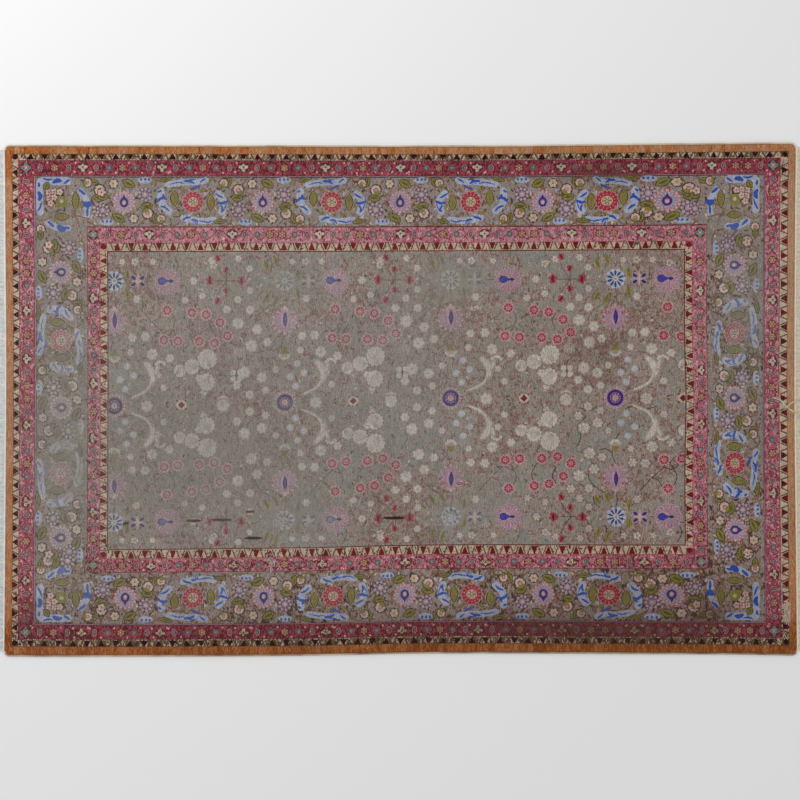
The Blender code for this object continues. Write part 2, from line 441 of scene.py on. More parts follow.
def lay_guard(outer, inner, flowers):
    """A thin vine, then flowers, rings and discs evenly spaced between the white flowers."""
    for side in band_sides(outer, inner):
        stops = [side.low] + flowers[side.name] + [side.high]
        half = side.height / 2 - 1.6
        vine = [
            (at, half * 0.62 * math.sin(at / GUARD_PITCH * math.pi))
            for at in np.arange(side.low + 10, side.high - 10, 8.0)
        ]
        stroke(side.place, vine, 1.8, "dark crimson", tapers=False)
        for first, last in zip(stops, stops[1:]):
            count = max(round((last - first) / GUARD_PITCH), 2)
            step = (last - first) / count
            for i in range(1, count):
                if abs(i - count / 2) < 0.6:
                    beige_flower(side.place, first + i * step)
                elif min(i, count - i) == 1:
                    guard_ring(side.place, first + i * step)
                else:
                    guard_disc(side.place, first + i * step)
            for i in range(count):
                between = first + (i + 0.5) * step
                b = side.height * (0.33 if i % 2 else -0.33)
                Patch(side.place, between, b, 5).oval(2.3, 2.3, "blossom")
                Patch(side.place, between, -b, 5).oval(2.0, 2.0, "outline")
        for at in flowers[side.name]:
            white_flower(side.place, at)
        for at in (side.low, side.high):
            grey_corner_flower(side.place, at)


lay_guard(OUTER_TRIANGLES, OUTER_GUARD_PLAIN, OUTER_GUARD_FLOWERS)
lay_guard(MAIN_BORDER, INNER_GUARD, INNER_GUARD_FLOWERS)
break_up(
    "guard white",
    [Share("guard white", 0.70), Share("beige", 0.92), Share("scroll brown", 2.0)],
    dashes(2, 2, 33) + 0.30 * nearward,
)


# Marks shared by the main border's motifs and the field's
def pale_flower(place, a, b, radius, petals, petal, heart):
    """A small flower of round petals on a darker rim, which shows between them."""
    patch = Patch(place, a, b, radius + 3)
    patch.oval(radius * 1.06, radius * 1.06, "outline")
    patch.beads(petals, radius * 0.60, radius * 2.25 / (petals + 1), petal)
    patch.oval(radius * 0.40, radius * 0.40, petal)
    patch.oval(radius * 0.18 + 0.5, radius * 0.18 + 0.5, heart)


def cluster(place, a, b, radius, turn_deg):
    """A blossom seen from the side: round petals crowded over a green cup, darkly outlined."""
    patch = Patch(place, a, b, radius + 3, turn_deg)
    patch.oval(radius * 1.08, radius * 1.08, "outline")
    patch.dye((patch.radius < radius * 0.94) & (patch.a < -0.28 * radius), "olive")
    for angle in (-105, -63, -21, 21, 63, 105):
        out_a = 0.62 * radius * math.cos(math.radians(angle))
        out_b = 0.62 * radius * math.sin(math.radians(angle))
        patch.oval(radius * 0.29, radius * 0.27, "blossom", out_a, out_b)
    patch.oval(radius * 0.27, radius * 0.27, "petal pink", -0.02 * radius)


def olive_leaf(place, a, b, half_long, half_wide, turn_deg):
    patch = Patch(place, a, b, half_long + 3, turn_deg)
    patch.leaf(half_long + 2.4, half_wide + 2.0, "outline")
    patch.leaf(half_long, half_wide, "olive")
    patch.leaf(half_long * 0.75, half_wide * 0.3, "zigzag green")


def pod(place, a, b, half_long, half_wide, turn_deg=90):
    """A seed pod: pale halo, dark rim, olive flesh and a row of brown seeds."""
    patch = Patch(place, a, b, half_long + 6, turn_deg)
    patch.leaf(half_long + 4, half_wide + 4, "field fawn")
    patch.leaf(half_long + 2, half_wide + 2.4, "outline")
    patch.leaf(half_long, half_wide, "olive")
    for share in (-0.5, -0.17, 0.17, 0.5):
        patch.oval(2.4, 2.2, "scroll brown", share * half_long)


def lilac_rosette(place, a, b, radius):
    patch = Patch(place, a, b, radius + 3)
    patch.oval(radius, radius, "outline")
    patch.beads(9, radius * 0.76, radius * 0.235, "lilac")
    patch.beads(9, radius * 0.80, radius * 0.10, "blossom")
    patch.oval(radius * 0.52, radius * 0.52, "outline")
    patch.beads(6, radius * 0.30, radius * 0.19, "lilac", 20)
    patch.oval(radius * 0.22, radius * 0.22, "blossom")


def blossom_with_leaf(place, a, b, leaf_a, leaf_b, leaf_turn):
    olive_leaf(place, a + leaf_a, b + leaf_b, 12, 6, leaf_turn)
    cluster(place, a, b, 11.0, leaf_turn)


# The main border: red and purple rosettes by turns, blue cloud bands round the red ones, pods,
# leaves and blossoms between. In each quarter a runs from the corner and b points outward.
Cloud = namedtuple("Cloud", "points width")

# Pale halos under the blue bands round a red rosette, then the bands themselves.
CLOUD_HALOS = [
    Cloud([(-58, 42), (-25, 47), (12, 48), (30, 52)], 15),
    Cloud([(-24, -38), (4, -44), (30, -45), (50, -42)], 15),
    Cloud([(60, 20), (71, 6), (73, -8), (68, -24)], 17),
    Cloud([(-75, 26), (-76, 10), (-71, -8), (-57, -22)], 17),
]
BROAD_CLOUD = 9  # wider ones have a pale line within
CLOUDS = [
    Cloud([(-55, 42), (-34, 47), (-20, 44)], 4.5),
    Cloud([(-21, 50), (-8, 48), (2, 44)], 13),
    Cloud([(-12, 52), (8, 54)], 5),
    Cloud([(-6, 31), (6, 34), (18, 42)], 7),
    Cloud([(16, 46), (25, 53), (30, 56)], 6),
    Cloud([(-25, -43), (-15, -38), (-6, -36)], 10),
    Cloud([(-3, -42), (6, -46), (10, -54)], 13),
    Cloud([(10, -44), (24, -46), (36, -48), (50, -43)], 5.5),
    Cloud([(53, 21), (62, 15), (72, 10)], 7),
    Cloud([(58, -2), (69, -4), (82, 2)], 12),
    Cloud([(66, -8), (70, -16), (68, -25)], 7),
    Cloud([(80, -2), (76, -14), (70, -24)], 4),
    Cloud([(-82, 24), (-76, 27)], 8),
    Cloud([(-86, 0), (-74, 8), (-62, 6)], 13),
    Cloud([(-72, 18), (-68, 8)], 8),
    Cloud([(-77, -10), (-66, -13), (-56, -22)], 7),
]


def red_rosette(place):
    for cloud in CLOUD_HALOS:
        stroke(place, cloud.points, cloud.width, "sky blue", tapers=False)
    for cloud in CLOUDS:
        stroke(place, cloud.points, cloud.width * 0.72, "cobalt")
        if cloud.width > BROAD_CLOUD:
            stroke(place, [(a + 1.5, b - 3.0) for a, b in cloud.points], 2.2, "sky blue")
    pod(place, -44, 9, 19, 8.5)
    pod(place, 42, -1, 20, 8)
    patch = Patch(place, 0, 0, 30)
    patch.beads(14, 23.0, 4.0, "petal pink")
    patch.oval(23.5, 23.0, "rose red")
    patch.beads(14, 20.4, 4.4, "red")
    patch.beads(14, 22.6, 1.4, "petal pink", 13)
    patch.beads(14, 17.4, 1.4, "petal pink", 13)
    patch.oval(15.0, 14.2, "red")
    patch.oval(12.4, 11.6, "blossom")
    patch.oval(10.6, 9.4, "scroll brown")
    patch.beads(6, 6.8, 2.7, "blossom", 30)
    patch.oval(5.0, 4.8, "olive")
    patch.oval(2.2, 2.2, "cream")
    for a, b in ((-24, 27), (24, 28), (-24, -27), (25, -29)):
        leaf = Patch(place, a, b, 10, 30 if a * b > 0 else -30)
        leaf.leaf(8.5, 4.2, "scroll brown")
        leaf.leaf(5.0, 2.0, "olive")
    olive_leaf(place, -64, 54, 15, 4.5, 12)
    olive_leaf(place, 64, -46, 15, 4.5, 8)
    blossom_with_leaf(place, 73, 45, 12, 2, 70)
    blossom_with_leaf(place, -76, -40, -15, 1, 100)


def purple_rosette(place):
    lilac_rosette(place, 50, 18, 17)
    lilac_rosette(place, -58, -18, 18)
    for a, b in ((50, 52), (-42, -48)):
        patch = Patch(place, a, b, 22)
        patch.oval(17, 7.5, "sky blue")
        for spot_a in (-9, 1, 10):
            patch.oval(2.6, 3.6, "cobalt", spot_a, 2 if spot_a else -2)
    olive_leaf(place, 11, 44, 16, 8.5, -28)
    olive_leaf(place, -13, -38, 16, 8.5, -28)
    pale_flower(place, -25, 44, 11.5, 6, "cream", "olive")
    pale_flower(place, 23, -39, 11.5, 6, "cream", "olive")
    olive_leaf(place, 54, -10, 14, 8, 10)
    cluster(place, 56, -27, 13.5, -60)
    olive_leaf(place, -61, 10, 14, 8, -10)
    cluster(place, -58, 29, 13.5, 120)
    patch = Patch(place, 0, 0, 31)
    patch.oval(25.5, 25.5, "rose red")
    patch.beads(16, 23.4, 3.9, "petal pink")
    patch.beads(16, 24.4, 1.5, "blossom")
    patch.oval(21.0, 21.0, "lilac")
    patch.petals(16, 12, 22, 0.30, "sky blue", 11)
    patch.petals(16, 12, 21, 0.14, "field mauve")
    patch.oval(13.0, 13.5, "lilac")
    drop = Patch(place, 0, 0, 24, 90)
    drop.oval(11.6, 10.2, "purple", -1.0)
    drop.dye((drop.a > 0) & (abs(drop.b) < (18.5 - drop.a) * 0.52), "purple")
    drop.oval(6.4, 5.0, "lilac", -1.5)
    drop.oval(4.0, 3.2, "blossom", -2.0)


# Brown scrolls wind from motif to motif before the motifs are laid over them.
BORDER_SCROLLS = [
    [(-84, -50), (-60, -58), (-36, -52), (-30, -36)],
    [(84, 50), (60, 60), (40, 52), (34, 36)],
    [(-90, 40), (-86, 54), (-70, 58)],
    [(92, -40), (84, -54), (66, -56)],
    [(-50, 30), (-46, 44), (-36, 56)],
    [(52, -28), (46, -44), (34, -56)],
]


def border_scrolls(place):
    for points in BORDER_SCROLLS:
        stroke(place, points, 4.0, "scroll brown", tapers=False)


CORNER_HALOS = [
    Cloud([(-46, 50), (-10, 50), (18, 50)], 18),
    Cloud([(-49, 48), (-50, 0), (-49, -24)], 17),
    Cloud([(48, 26), (62, 4), (64, -16), (62, -32)], 15),
    Cloud([(-30, -50), (-10, -61), (6, -63), (18, -62)], 15),
]
CORNER_CLOUDS = [
    Cloud([(-52, 46), (-51, 36)], 6),
    Cloud([(-53, 24), (-48, 14), (-52, 4)], 11),
    Cloud([(-44, 2), (-50, -14), (-55, -22)], 5),
    Cloud([(-42, 57), (-30, 53), (-18, 55)], 5),
    Cloud([(-18, 46), (-8, 51), (2, 50)], 11),
    Cloud([(8, 44), (22, 53)], 6),
    Cloud([(56, -2), (64, -6), (72, -2)], 15),
    Cloud([(66, -10), (64, -22), (64, -34)], 6),
    Cloud([(44, 30), (50, 25), (60, 17)], 7),
    Cloud([(-6, -58), (2, -64), (10, -66)], 15),
    Cloud([(8, -60), (22, -63)], 6),
    Cloud([(-31, -46), (-24, -52), (-16, -60)], 7),
]


def border_corner(place):
    """The rug's corner: a runs along the long side and b outward, from the border's middle."""
    for cloud in CORNER_HALOS:
        stroke(place, cloud.points, cloud.width, "sky blue", tapers=False)
    for cloud in CORNER_CLOUDS:
        stroke(place, cloud.points, cloud.width, "cobalt")
    pod(place, 36, 3, 22, 7.5)
    pod(place, 3, -35, 19, 7.5, 0)
    olive_leaf(place, -34, 38, 10, 6, 60)
    bed = Patch(place, -13, 12, 26)
    bed.box(22, 18, "outline")
    olive = Patch(place, 1, 1, 16)
    olive.box(13, 13, "olive")
    olive.oval(4.5, 4.5, "cream", 1, 1)
    for a, b in ((-28, 23), (-15, 25), (-2, 24), (-27, 9), (-15, 11), (-24, -3)):
        pale_flower(place, a, b, 8.5, 5, "blossom", "rose red")
    blossom_with_leaf(place, 65, 46, 14, 1, 0)
    blossom_with_leaf(place, -48, -64, 0, -14, 90)
    olive_leaf(place, 102, 12, 12, 7, 0)
    pale_flower(place, 98, 23, 10, 5, "blossom", "rose red")
    lilac_rosette(place, 101, -20, 16)
    olive_leaf(place, -15, -102, 12, 7, 90)
    pale_flower(place, -29, -102, 10, 5, "blossom", "rose red")
    lilac_rosette(place, 20, -109, 17)
    for width, points in (
        (3.4, [(26, -20), (40, -40), (44, -60)]),
        (3.4, [(24, -26), (44, -34), (70, -40)]),
        (3.0, [(-60, -36), (-50, -44), (-30, -40), (-20, -24)]),
    ):
        stroke(place, points, width, "scroll brown", tapers=False)


# Where the rosettes stand, as red and purple by turns from the first purple one.
BORDER_ROSETTES = {
    "far": [-661, -496, -329, -164, 0, 169, 341, 495, 636],
    "near": [-658, -496, -327, -161, 10, 170, 341, 498, 644],
    "left": [-327, -173, -16, 144, 307],
    "right": [-313, -154, 2, 157, 319],
}
BORDER_CORNERS = {"far": (-813, 802), "near": (-812, 800)}
BORDER_MIDDLE = Band(131.0, 143.5, 131.5, 137.5)
COMMON_PITCH = 165.0


def border_place(side, at, spacing):
    """The motif's place on a side, mirrored in each half and stretched to its spacing."""
    if side == "far":
        return Place(at, HALF_WIDTH_MM - BORDER_MIDDLE.far, spacing, 0, 0, 1)
    if side == "near":
        return Place(at, BORDER_MIDDLE.near - HALF_WIDTH_MM, spacing, 0, 0, -1)
    if side == "left":
        return Place(BORDER_MIDDLE.left - HALF_LENGTH_MM, at, 0, spacing, -1, 0)
    return Place(HALF_LENGTH_MM - BORDER_MIDDLE.right, at, 0, spacing, 1, 0)


# The border's ground is full of small scrolls and leaf tips, sown at random round each rosette.
BORDER_SOWN = 150
BORDER_SOWN_DYES = [
    "scroll brown", "field brown", "lilac", "field bone", "zigzag green", "field fawn", "outline", "olive"
]
Scrap = namedtuple("Scrap", "a b turn_deg size which")
draw = np.random.default_rng(8)
BORDER_SCRAPS = [
    Scrap(
        draw.uniform(-84, 84), draw.uniform(-55, 55), draw.uniform(0, 180), draw.uniform(3, 9),
        draw.choice(len(BORDER_SOWN_DYES)),
    )
    for _ in range(BORDER_SOWN)
]
PAST_CORNER = -48  # a corner's ground is sown from here, and a rosette's all round it


def sow_border(place, low=-90):
    for scrap in BORDER_SCRAPS:
        if scrap.a > low:
            patch = Patch(place, scrap.a, scrap.b, scrap.size + 1, scrap.turn_deg)
            patch.leaf(scrap.size, max(scrap.size * 0.34, 1.2), BORDER_SOWN_DYES[scrap.which])


corner_places = [
    border_place(side, at, way)
    for side in ("far", "near")
    for at, way in zip(BORDER_CORNERS[side], (1, -1))
]
for place in corner_places:
    sow_border(place, PAST_CORNER)
for side in ("far", "near", "left", "right"):
    ats = BORDER_ROSETTES[side]
    places = []
    for i, at in enumerate(ats):
        before = max(i - 1, 0)
        after = min(i + 1, len(ats) - 1)
        spacing = (ats[after] - ats[before]) / COMMON_PITCH / (after - before)
        way = 1 if i <= len(ats) // 2 else -1
        places.append(border_place(side, at, way * spacing))
    for place in places:
        sow_border(place)
        border_scrolls(place)
    for place in places[::2]:
        purple_rosette(place)
    for place in places[1::2]:
        red_rosette(place)
for place in corner_places:
    border_corner(place)

# The field
# Its motifs repeat along the rug and are mirrored about the middle line. In a repeat a runs
# from the column of blue rosettes and b outward from the middle line.
REPEAT = 402.0
MIDDLE_LINE_V = 3.0

# Where the columns of rosettes, palmettes and sprigs really stand, as the weaver's count ran.
Column = namedtuple("Column", "charted woven")

COLUMNS = [
    Column(-109, -808),
    Column(0, -686),
    Column(108, -569),
    Column(293, -416),
    Column(402, -277),
    Column(510, -166),
    Column(695, -12),
    Column(804, 121),
    Column(912, 249),
    Column(1097, 408),
    Column(1206, 516),
    Column(1314, 626),
    Column(1500, 812),
]


def field_place(repeat, a, half):
    """The place of a motif of the field, in the far (1) or the near (-1) half."""
    u = np.interp(repeat * REPEAT + a, *zip(*COLUMNS))
    return Place(u, MIDDLE_LINE_V, 1, 0, 0, half)


Blossom = namedtuple("Blossom", "a b radius petals")

BLOSSOMS = [
    Blossom(-152, 333, 9, 6),
    Blossom(-87, 337, 9, 6),
    Blossom(-66, 313, 9, 6),
    Blossom(-65, 262, 9, 6),
    Blossom(-88, 241, 10, 6),
    Blossom(-65, 217, 11, 7),
    Blossom(-109, 218, 11, 6),
    Blossom(-88, 186, 15, 7),
    Blossom(-52, 171, 13, 6),
    Blossom(-63, 133, 15, 7),
    Blossom(-33, 142, 11, 6),
    Blossom(-76, 72, 15, 7),
    Blossom(-43, 60, 13, 7),
    Blossom(-90, 43, 11, 6),
    Blossom(-17, 78, 9, 6),
    Blossom(-36, 30, 10, 6),
    Blossom(-66, 20, 11, 7),
    Blossom(-121, 4, 16, 8),
    Blossom(40, 155, 11, 6),
    Blossom(69, 157, 12, 6),
    Blossom(36, 122, 9, 6),
    Blossom(84, 117, 14, 7),
    Blossom(127, 107, 11, 6),
    Blossom(50, 243, 10, 6),
    Blossom(72, 2, 15, 7),
    Blossom(110, 40, 9, 6),
    Blossom(96, 70, 9, 5),
    Blossom(18, 330, 8, 5),
    Blossom(86, 330, 8, 5),
    Blossom(-190, 60, 10, 6),
    Blossom(-176, 28, 9, 6),
    Blossom(-180, 250, 9, 6),
    Blossom(-205, 285, 10, 6),
    Blossom(-230, 240, 9, 6),
]

Rose = namedtuple("Rose", "a b")

ROSES = [
    Rose(-210, 211),
    Rose(-169, 206),
    Rose(-129, 188),
    Rose(-108, 157),
    Rose(-189, 145),
    Rose(-145, 141),
    Rose(120, 217),
    Rose(111, 149),
    Rose(151, 146),
]

Sprig = namedtuple("Sprig", "a b radius turn_deg")

SPRIGS = [
    Sprig(-135, 339, 11, 30),
    Sprig(-111, 311, 10, -10),
    Sprig(-158, 286, 14, 0),
    Sprig(-81, 285, 14, 180),
    Sprig(-111, 262, 10, 10),
    Sprig(-135, 238, 11, -30),
]

FANS = [
    Sprig(-166, 104, 24, 111),
    Sprig(-210, 87, 19, 180),
    Sprig(-168, 51, 21, -115),
    Sprig(156, 78, 15, 40),
]

# Thin bent stems and twigs, each from its first point on.
FIELD_STEMS = [
    [(0, 262), (3, 240), (0, 214)],
    [(58, 222), (82, 194), (112, 166), (150, 130)],
    [(84, 192), (98, 198), (106, 212)],
    [(112, 166), (102, 150), (88, 143)],
    [(112, 166), (128, 172), (142, 164)],
    [(-18, 232), (-42, 218), (-62, 198), (-66, 172)],
    [(-50, 212), (-70, 216), (-86, 206)],
    [(0, 158), (-8, 132), (-2, 104), (10, 84)],
    [(-8, 132), (-24, 122), (-40, 126)],
    [(-109, 285), (-128, 312), (-136, 336)],
    [(-109, 285), (-128, 258), (-136, 240)],
    [(-109, 310), (-109, 250)],
    [(-155, 285), (-85, 285)],
    [(70, 285), (90, 285)],
    [(-96, 120), (-84, 96), (-88, 70), (-72, 44)],
    [(-160, 140), (-180, 118), (-188, 88), (-176, 60)],
    [(94, 150), (84, 118), (98, 88), (88, 60)],
    [(84, 118), (68, 108), (56, 112)],
    [(130, 215), (140, 188), (124, 156)],
    [(-210, 206), (-216, 180), (-200, 152)],
    [(-150, 205), (-158, 186), (-150, 165)],
    [(16, 345), (10, 328), (12, 308)],
    [(-30, 345), (-22, 326), (-26, 306)],
    [(-62, 345), (-70, 326), (-66, 306), (-74, 288)],
    [(140, 345), (150, 322), (142, 300)],
    [(30, 262), (46, 250), (52, 232)],
    [(-40, 262), (-52, 250), (-54, 236)],
    [(-20, 30), (-44, 22), (-60, 30), (-84, 24)],
    [(24, 26), (48, 20), (70, 28), (96, 20)],
]


def blue_rosette(place):
    patch = Patch(place, 0, 285, 27)
    patch.beads(10, 18.0, 6.2, "sky blue", 36)
    patch.oval(21, 21, "sky blue")
    patch.petals(10, 7, 20.5, 0.56, "navy", 18)
    patch.petals(10, 13, 18.5, 0.14, "cobalt", 18)
    patch.beads(10, 21.5, 1.8, "field bone", 36)
    patch.petals(10, 0, 10.5, 0.55, "field bone", 36)
    patch.oval(4.0, 4.0, "field bone")
    patch.oval(2.2, 2.2, "olive")


def star_flower(place):
    for a, b, turn in ((10.5, 7.5, 35), (10.5, -7.5, -35), (-10.5, 7.5, -35), (-10.5, -7.5, 35)):
        petal = Patch(place, 57 + a, 285 + b, 12, turn)
        petal.oval(8.6, 5.8, "lilac")
        petal.oval(6.2, 3.6, "navy")
    patch = Patch(place, 57, 285, 26)
    patch.oval(3.4, 18, "petal pink")
    patch.oval(17, 3.0, "petal pink")
    patch.oval(2.4, 10, "cream")
    patch.oval(5.5, 2.4, "cream")


def blue_heart_palmette(place):
    """A mauve flower of small dotted petals round a blue heart that points along the rug."""
    patch = Patch(place, 11, 283, 46)
    patch.oval(32, 31, "field mauve")
    patch.petals(18, 6, 35, 0.74, "lilac")
    patch.petals(18, 10, 29, 0.30, "petal pink")
    patch.petals(18, 14, 33, 0.16, "pink", 10)
    patch.beads(18, 29, 1.6, "blossom", 10)
    patch.oval(15, 12, "lilac", -8)
    patch.oval(12.5, 10.5, "petal pink", -9)
    heart = Patch(place, 0, 285, 20)
    heart.oval(9.8, 9.0, "navy", -2)
    heart.oval(7.8, 7.2, "violet blue", -2)
    heart.dye((heart.a > 0) & (abs(heart.b) < (18 - heart.a) * 0.44), "violet blue")
    heart.oval(3.2, 2.6, "cobalt", -4)
    Patch(place, 19, 285, 8).leaf(7.0, 3.6, "navy")


def slit_palmette(place):
    """A broad fan of narrow petals round a purple slit, with a bud above."""
    patch = Patch(place, 0, 190, 40)
    patch.petals(13, 0, 32, 0.94, "petal pink", -90)
    patch.petals(13, 8, 30, 0.66, "lilac", -90)
    patch.petals(13, 12, 27, 0.16, "pink", -104)
    patch.beads(13, 27, 1.5, "blossom", -90)
    patch.oval(13, 20, "lilac", b=2)
    patch.oval(9.5, 17, "petal pink", b=2)
    for a, b in ((-20, 15), (20, 15)):
        patch.oval(5.5, 3.8, "rose red", a, b)
        patch.oval(2.6, 1.8, "petal pink", a, b)
    slit = Patch(place, 1, 194, 22, 90)
    slit.leaf(20.0, 6.4, "lilac")
    slit.leaf(18.5, 5.2, "purple")
    slit.leaf(12, 2.0, "violet blue")
    bud = Patch(place, 0, 221, 9)
    bud.oval(4.5, 6, "petal pink")
    bud.oval(2.0, 3.4, "blossom")


def purple_ring(place):
    patch = Patch(place, 0, 0, 30)
    patch.beads(18, 24.5, 2.9, "petal pink")
    patch.oval(22.5, 22.5, "lilac")
    patch.oval(19.5, 19.5, "purple")
    patch.oval(12.5, 12.5, "lilac")
    patch.beads(10, 9.5, 2.2, "purple")
    patch.oval(6.5, 6.5, "petal pink")
    patch.oval(3.2, 3.2, "beige")


def rose(place, b):
    patch = Patch(place, 0, b, 18)
    patch.beads(12, 12.4, 2.4, "petal pink", 10)
    patch.oval(12.0, 12.0, "petal pink")
    patch.oval(10.6, 10.6, "rose red")
    patch.beads(8, 8.0, 1.5, "maroon", 20)
    patch.beads(8, 8.4, 1.0, "petal pink", 42)
    patch.oval(5.2, 5.2, "petal pink")
    patch.oval(3.4, 3.4, "rose red")
    patch.oval(1.5, 1.5, "cream")


def red_sprig(place, sprig):
    """A red bud with pale tips, on a short green stalk."""
    radius = sprig.radius
    patch = Patch(place, 0, sprig.b, radius + 6, sprig.turn_deg)
    patch.oval(radius * 0.46, radius * 0.84, "rose red")
    patch.beads(5, radius * 0.56, radius * 0.25, "crimson", 20)
    patch.oval(radius * 0.22, radius * 0.6, "maroon")
    for b in (-0.8, -0.4, 0.0, 0.4, 0.8):
        patch.oval(1.6, 1.6, "petal pink", -radius * 0.9 * math.cos(b), b * radius)
    patch.oval(1.6, 3.4, "olive", radius * 0.9)


def pale_fan(place, sprig):
    """A broad bone blossom that opens to one side, with faint ribs."""
    radius = sprig.radius
    patch = Patch(place, 0, sprig.b, radius + 4, sprig.turn_deg)
    patch.oval(radius * 1.06, radius * 0.98, "field mauve")
    patch.dye((patch.a < 0) & (abs(patch.b) < 0.7 * (patch.a + radius * 1.1)), "field brown")
    patch.beads(13, radius * 0.78, radius * 0.20, "field bone")
    patch.oval(radius * 0.86, radius * 0.80, "field bone")
    for rib in (-0.40, -0.2, 0.0, 0.2, 0.40):
        on_rib = abs(patch.b - rib * (patch.a + radius)) < 0.8
        patch.dye(on_rib & (patch.radius < radius * 0.8), "field fawn")


def pale_blossom(place, blossom, dotted):
    """A scalloped bone disc on a mauve rim, or a darker one with a dot in every petal."""
    radius = blossom.radius
    patch = Patch(place, 0, blossom.b, radius + 4)
    patch.oval(radius * 1.14, radius * 1.10, "field brown" if dotted else "field mauve")
    patch.beads(blossom.petals, radius * 0.66, radius * 0.40, "field fawn")
    if dotted:
        patch.beads(blossom.petals, radius * 0.62, radius * 0.20, "field bone")
        patch.oval(radius * 0.30, radius * 0.30, "field bone")
    else:
        patch.oval(radius * 0.84, radius * 0.80, "field fawn")
        patch.beads(blossom.petals, radius * 0.60, radius * 0.29, "field bone")
        patch.oval(radius * 0.66, radius * 0.62, "field bone")
    patch.oval(1.4, 1.4, "field brown" if blossom.petals > 6 else "field fawn")


def bird(place):
    """A long-tailed bird: its curved body, its tail and its wing, each fawn with bone within."""
    for points, width, dye in (
        ([(70, 100), (84, 86), (94, 66), (86, 42)], 21, "field fawn"),
        ([(73, 97), (85, 85), (93, 66), (87, 46)], 14, "field bone"),
        ([(92, 54), (74, 32), (36, 16)], 9, "field fawn"),
        ([(90, 54), (74, 33), (42, 18)], 5, "field bone"),
        ([(106, 94), (98, 66)], 11, "field fawn"),
        ([(104, 90), (98, 70)], 6, "field bone"),
    ):
        stroke(place, points, width, dye)


def lilac_blossoms(place):
    for a, b in ((30, 91), (46, 69), (13, 60), (26, 38)):
        patch = Patch(place, a, b, 14)
        patch.oval(9.6, 9.0, "field fawn")
        patch.oval(7.6, 7.2, "sky blue")
        patch.oval(4.4, 4.2, "field bone")
        patch.oval(1.6, 1.6, "sky blue")


def small_things(place):
    """Leaves, buds and a tufted flower."""
    for a, b, turn in (
        (-44, 244, 60), (-21, 238, 67), (32, 255, 97), (-43, 322, 112), (-20, 331, 107), (32, 300, 98)
    ):
        leaf = Patch(place, a, b, 20, turn)
        leaf.leaf(15, 5.2, "olive")
        leaf.leaf(11, 1.0, "zigzag green")
    for a, b in ((50, 330), (-170, 322)):
        patch = Patch(place, a, b, 12)
        patch.beads(5, 6, 3.0, "field bone")
        patch.oval(2.5, 2.5, "beige")
    spray = Patch(place, 110, 88, 22)
    for turn in range(5):
        angle = math.radians(30 + 30 * turn)
        spray.oval(3.6, 3.6, "field bone", 12 * math.cos(angle), 12 * math.sin(angle))
    tuft = Patch(place, 0, 112, 24)
    tuft.oval(15, 13, "field fawn")
    for turn in (-70, -35, 0, 35, 70):
        angle = math.radians(turn)
        tuft.oval(3.6, 3.6, "field bone", 11 * math.sin(angle), -10 * math.cos(angle))
    tuft.dye((tuft.b > 3) & (abs(tuft.a) < 13 - 0.6 * tuft.b) & (tuft.radius < 18), "olive")


def diamond_flower(u):
    """The little diamond on the middle line, in an oval with four green buds."""
    diamond = Patch(Place(u, 2, 1, 0, 0, 1), 0, 0, 18)
    diamond.beads(4, 14, 2.6, "zigzag green", 45)
    diamond.oval(12.5, 11.0, "cream")
    diamond.oval(10.0, 8.6, "blossom")
    diamond.dye(abs(diamond.a) + abs(diamond.b) < 8.6, "maroon")


def comb_and_butterfly(place):
    """Two small pale figures of the far half."""
    comb = Patch(place, -110, 118, 20)
    for a in (-11, -5.5, 0, 5.5, 11):
        comb.oval(2.2, 13, "field fawn", a)
    comb.oval(13, 4, "field fawn")
    butterfly = Patch(place, -116, 64, 22)
    for a, b in ((-8, 8), (8, 8), (-7, -7), (7, -7)):
        butterfly.oval(7.5, 6.5, "field bone", a, b)
    butterfly.oval(2, 13, "field brown")


# Little leaves and buds fill the ground, sown at random but mirrored as the rest is.
SOWN_PER_REPEAT = 330
SOWN_DYES = [
    "field brown", "field fawn", "field teal", "field brown", "field bone", "field fawn",
    "scroll brown", "zigzag green",
]
draw = np.random.default_rng(5)
FIELD_SCRAPS = [
    Scrap(
        draw.uniform(-230, 172), draw.uniform(2, 348), draw.uniform(0, 180), draw.uniform(2.2, 5.5),
        draw.choice(len(SOWN_DYES)),
    )
    for _ in range(SOWN_PER_REPEAT)
]
REPEATS = 5
field_box = knots_inside(INNER_TRIANGLES, 3)
finished_bands = chart.copy()

for repeat in range(REPEATS):
    for half in (1, -1):
        darker = half < 0 and repeat >= 3
        for scrap in FIELD_SCRAPS:
            patch = Patch(field_place(repeat, scrap.a, half), 0, scrap.b, 8, scrap.turn_deg)
            patch.leaf(scrap.size, max(scrap.size * 0.4, 1.0), SOWN_DYES[scrap.which])
        for stem in FIELD_STEMS:
            foot = stem[0][0]
            points = [(a - foot, b) for a, b in stem]
            dye = "outline" if darker else "field brown"
            stroke(field_place(repeat, foot, half), points, 2.2, dye, tapers=False)
        for blossom in BLOSSOMS:
            pale_blossom(field_place(repeat, blossom.a, half), blossom, darker)
        for fan in FANS:
            pale_fan(field_place(repeat, fan.a, half), fan)
        for at in ROSES:
            rose(field_place(repeat, at.a, half), at.b)
        for sprig in SPRIGS:
            red_sprig(field_place(repeat, sprig.a, half), sprig)
        place = field_place(repeat, 0, half)
        bird(place)
        lilac_blossoms(place)
        small_things(place)
        if half > 0:
            comb_and_butterfly(place)
        blue_rosette(place)
        star_flower(place)
        blue_heart_palmette(field_place(repeat, 108, half))
        slit_palmette(place)
        purple_ring(place)
DIAMONDS = [-525, -113, 297, 670]
for u in DIAMONDS:
    diamond_flower(u)
woven_field = chart[field_box].copy()
chart[:] = finished_bands
chart[field_box] = woven_field

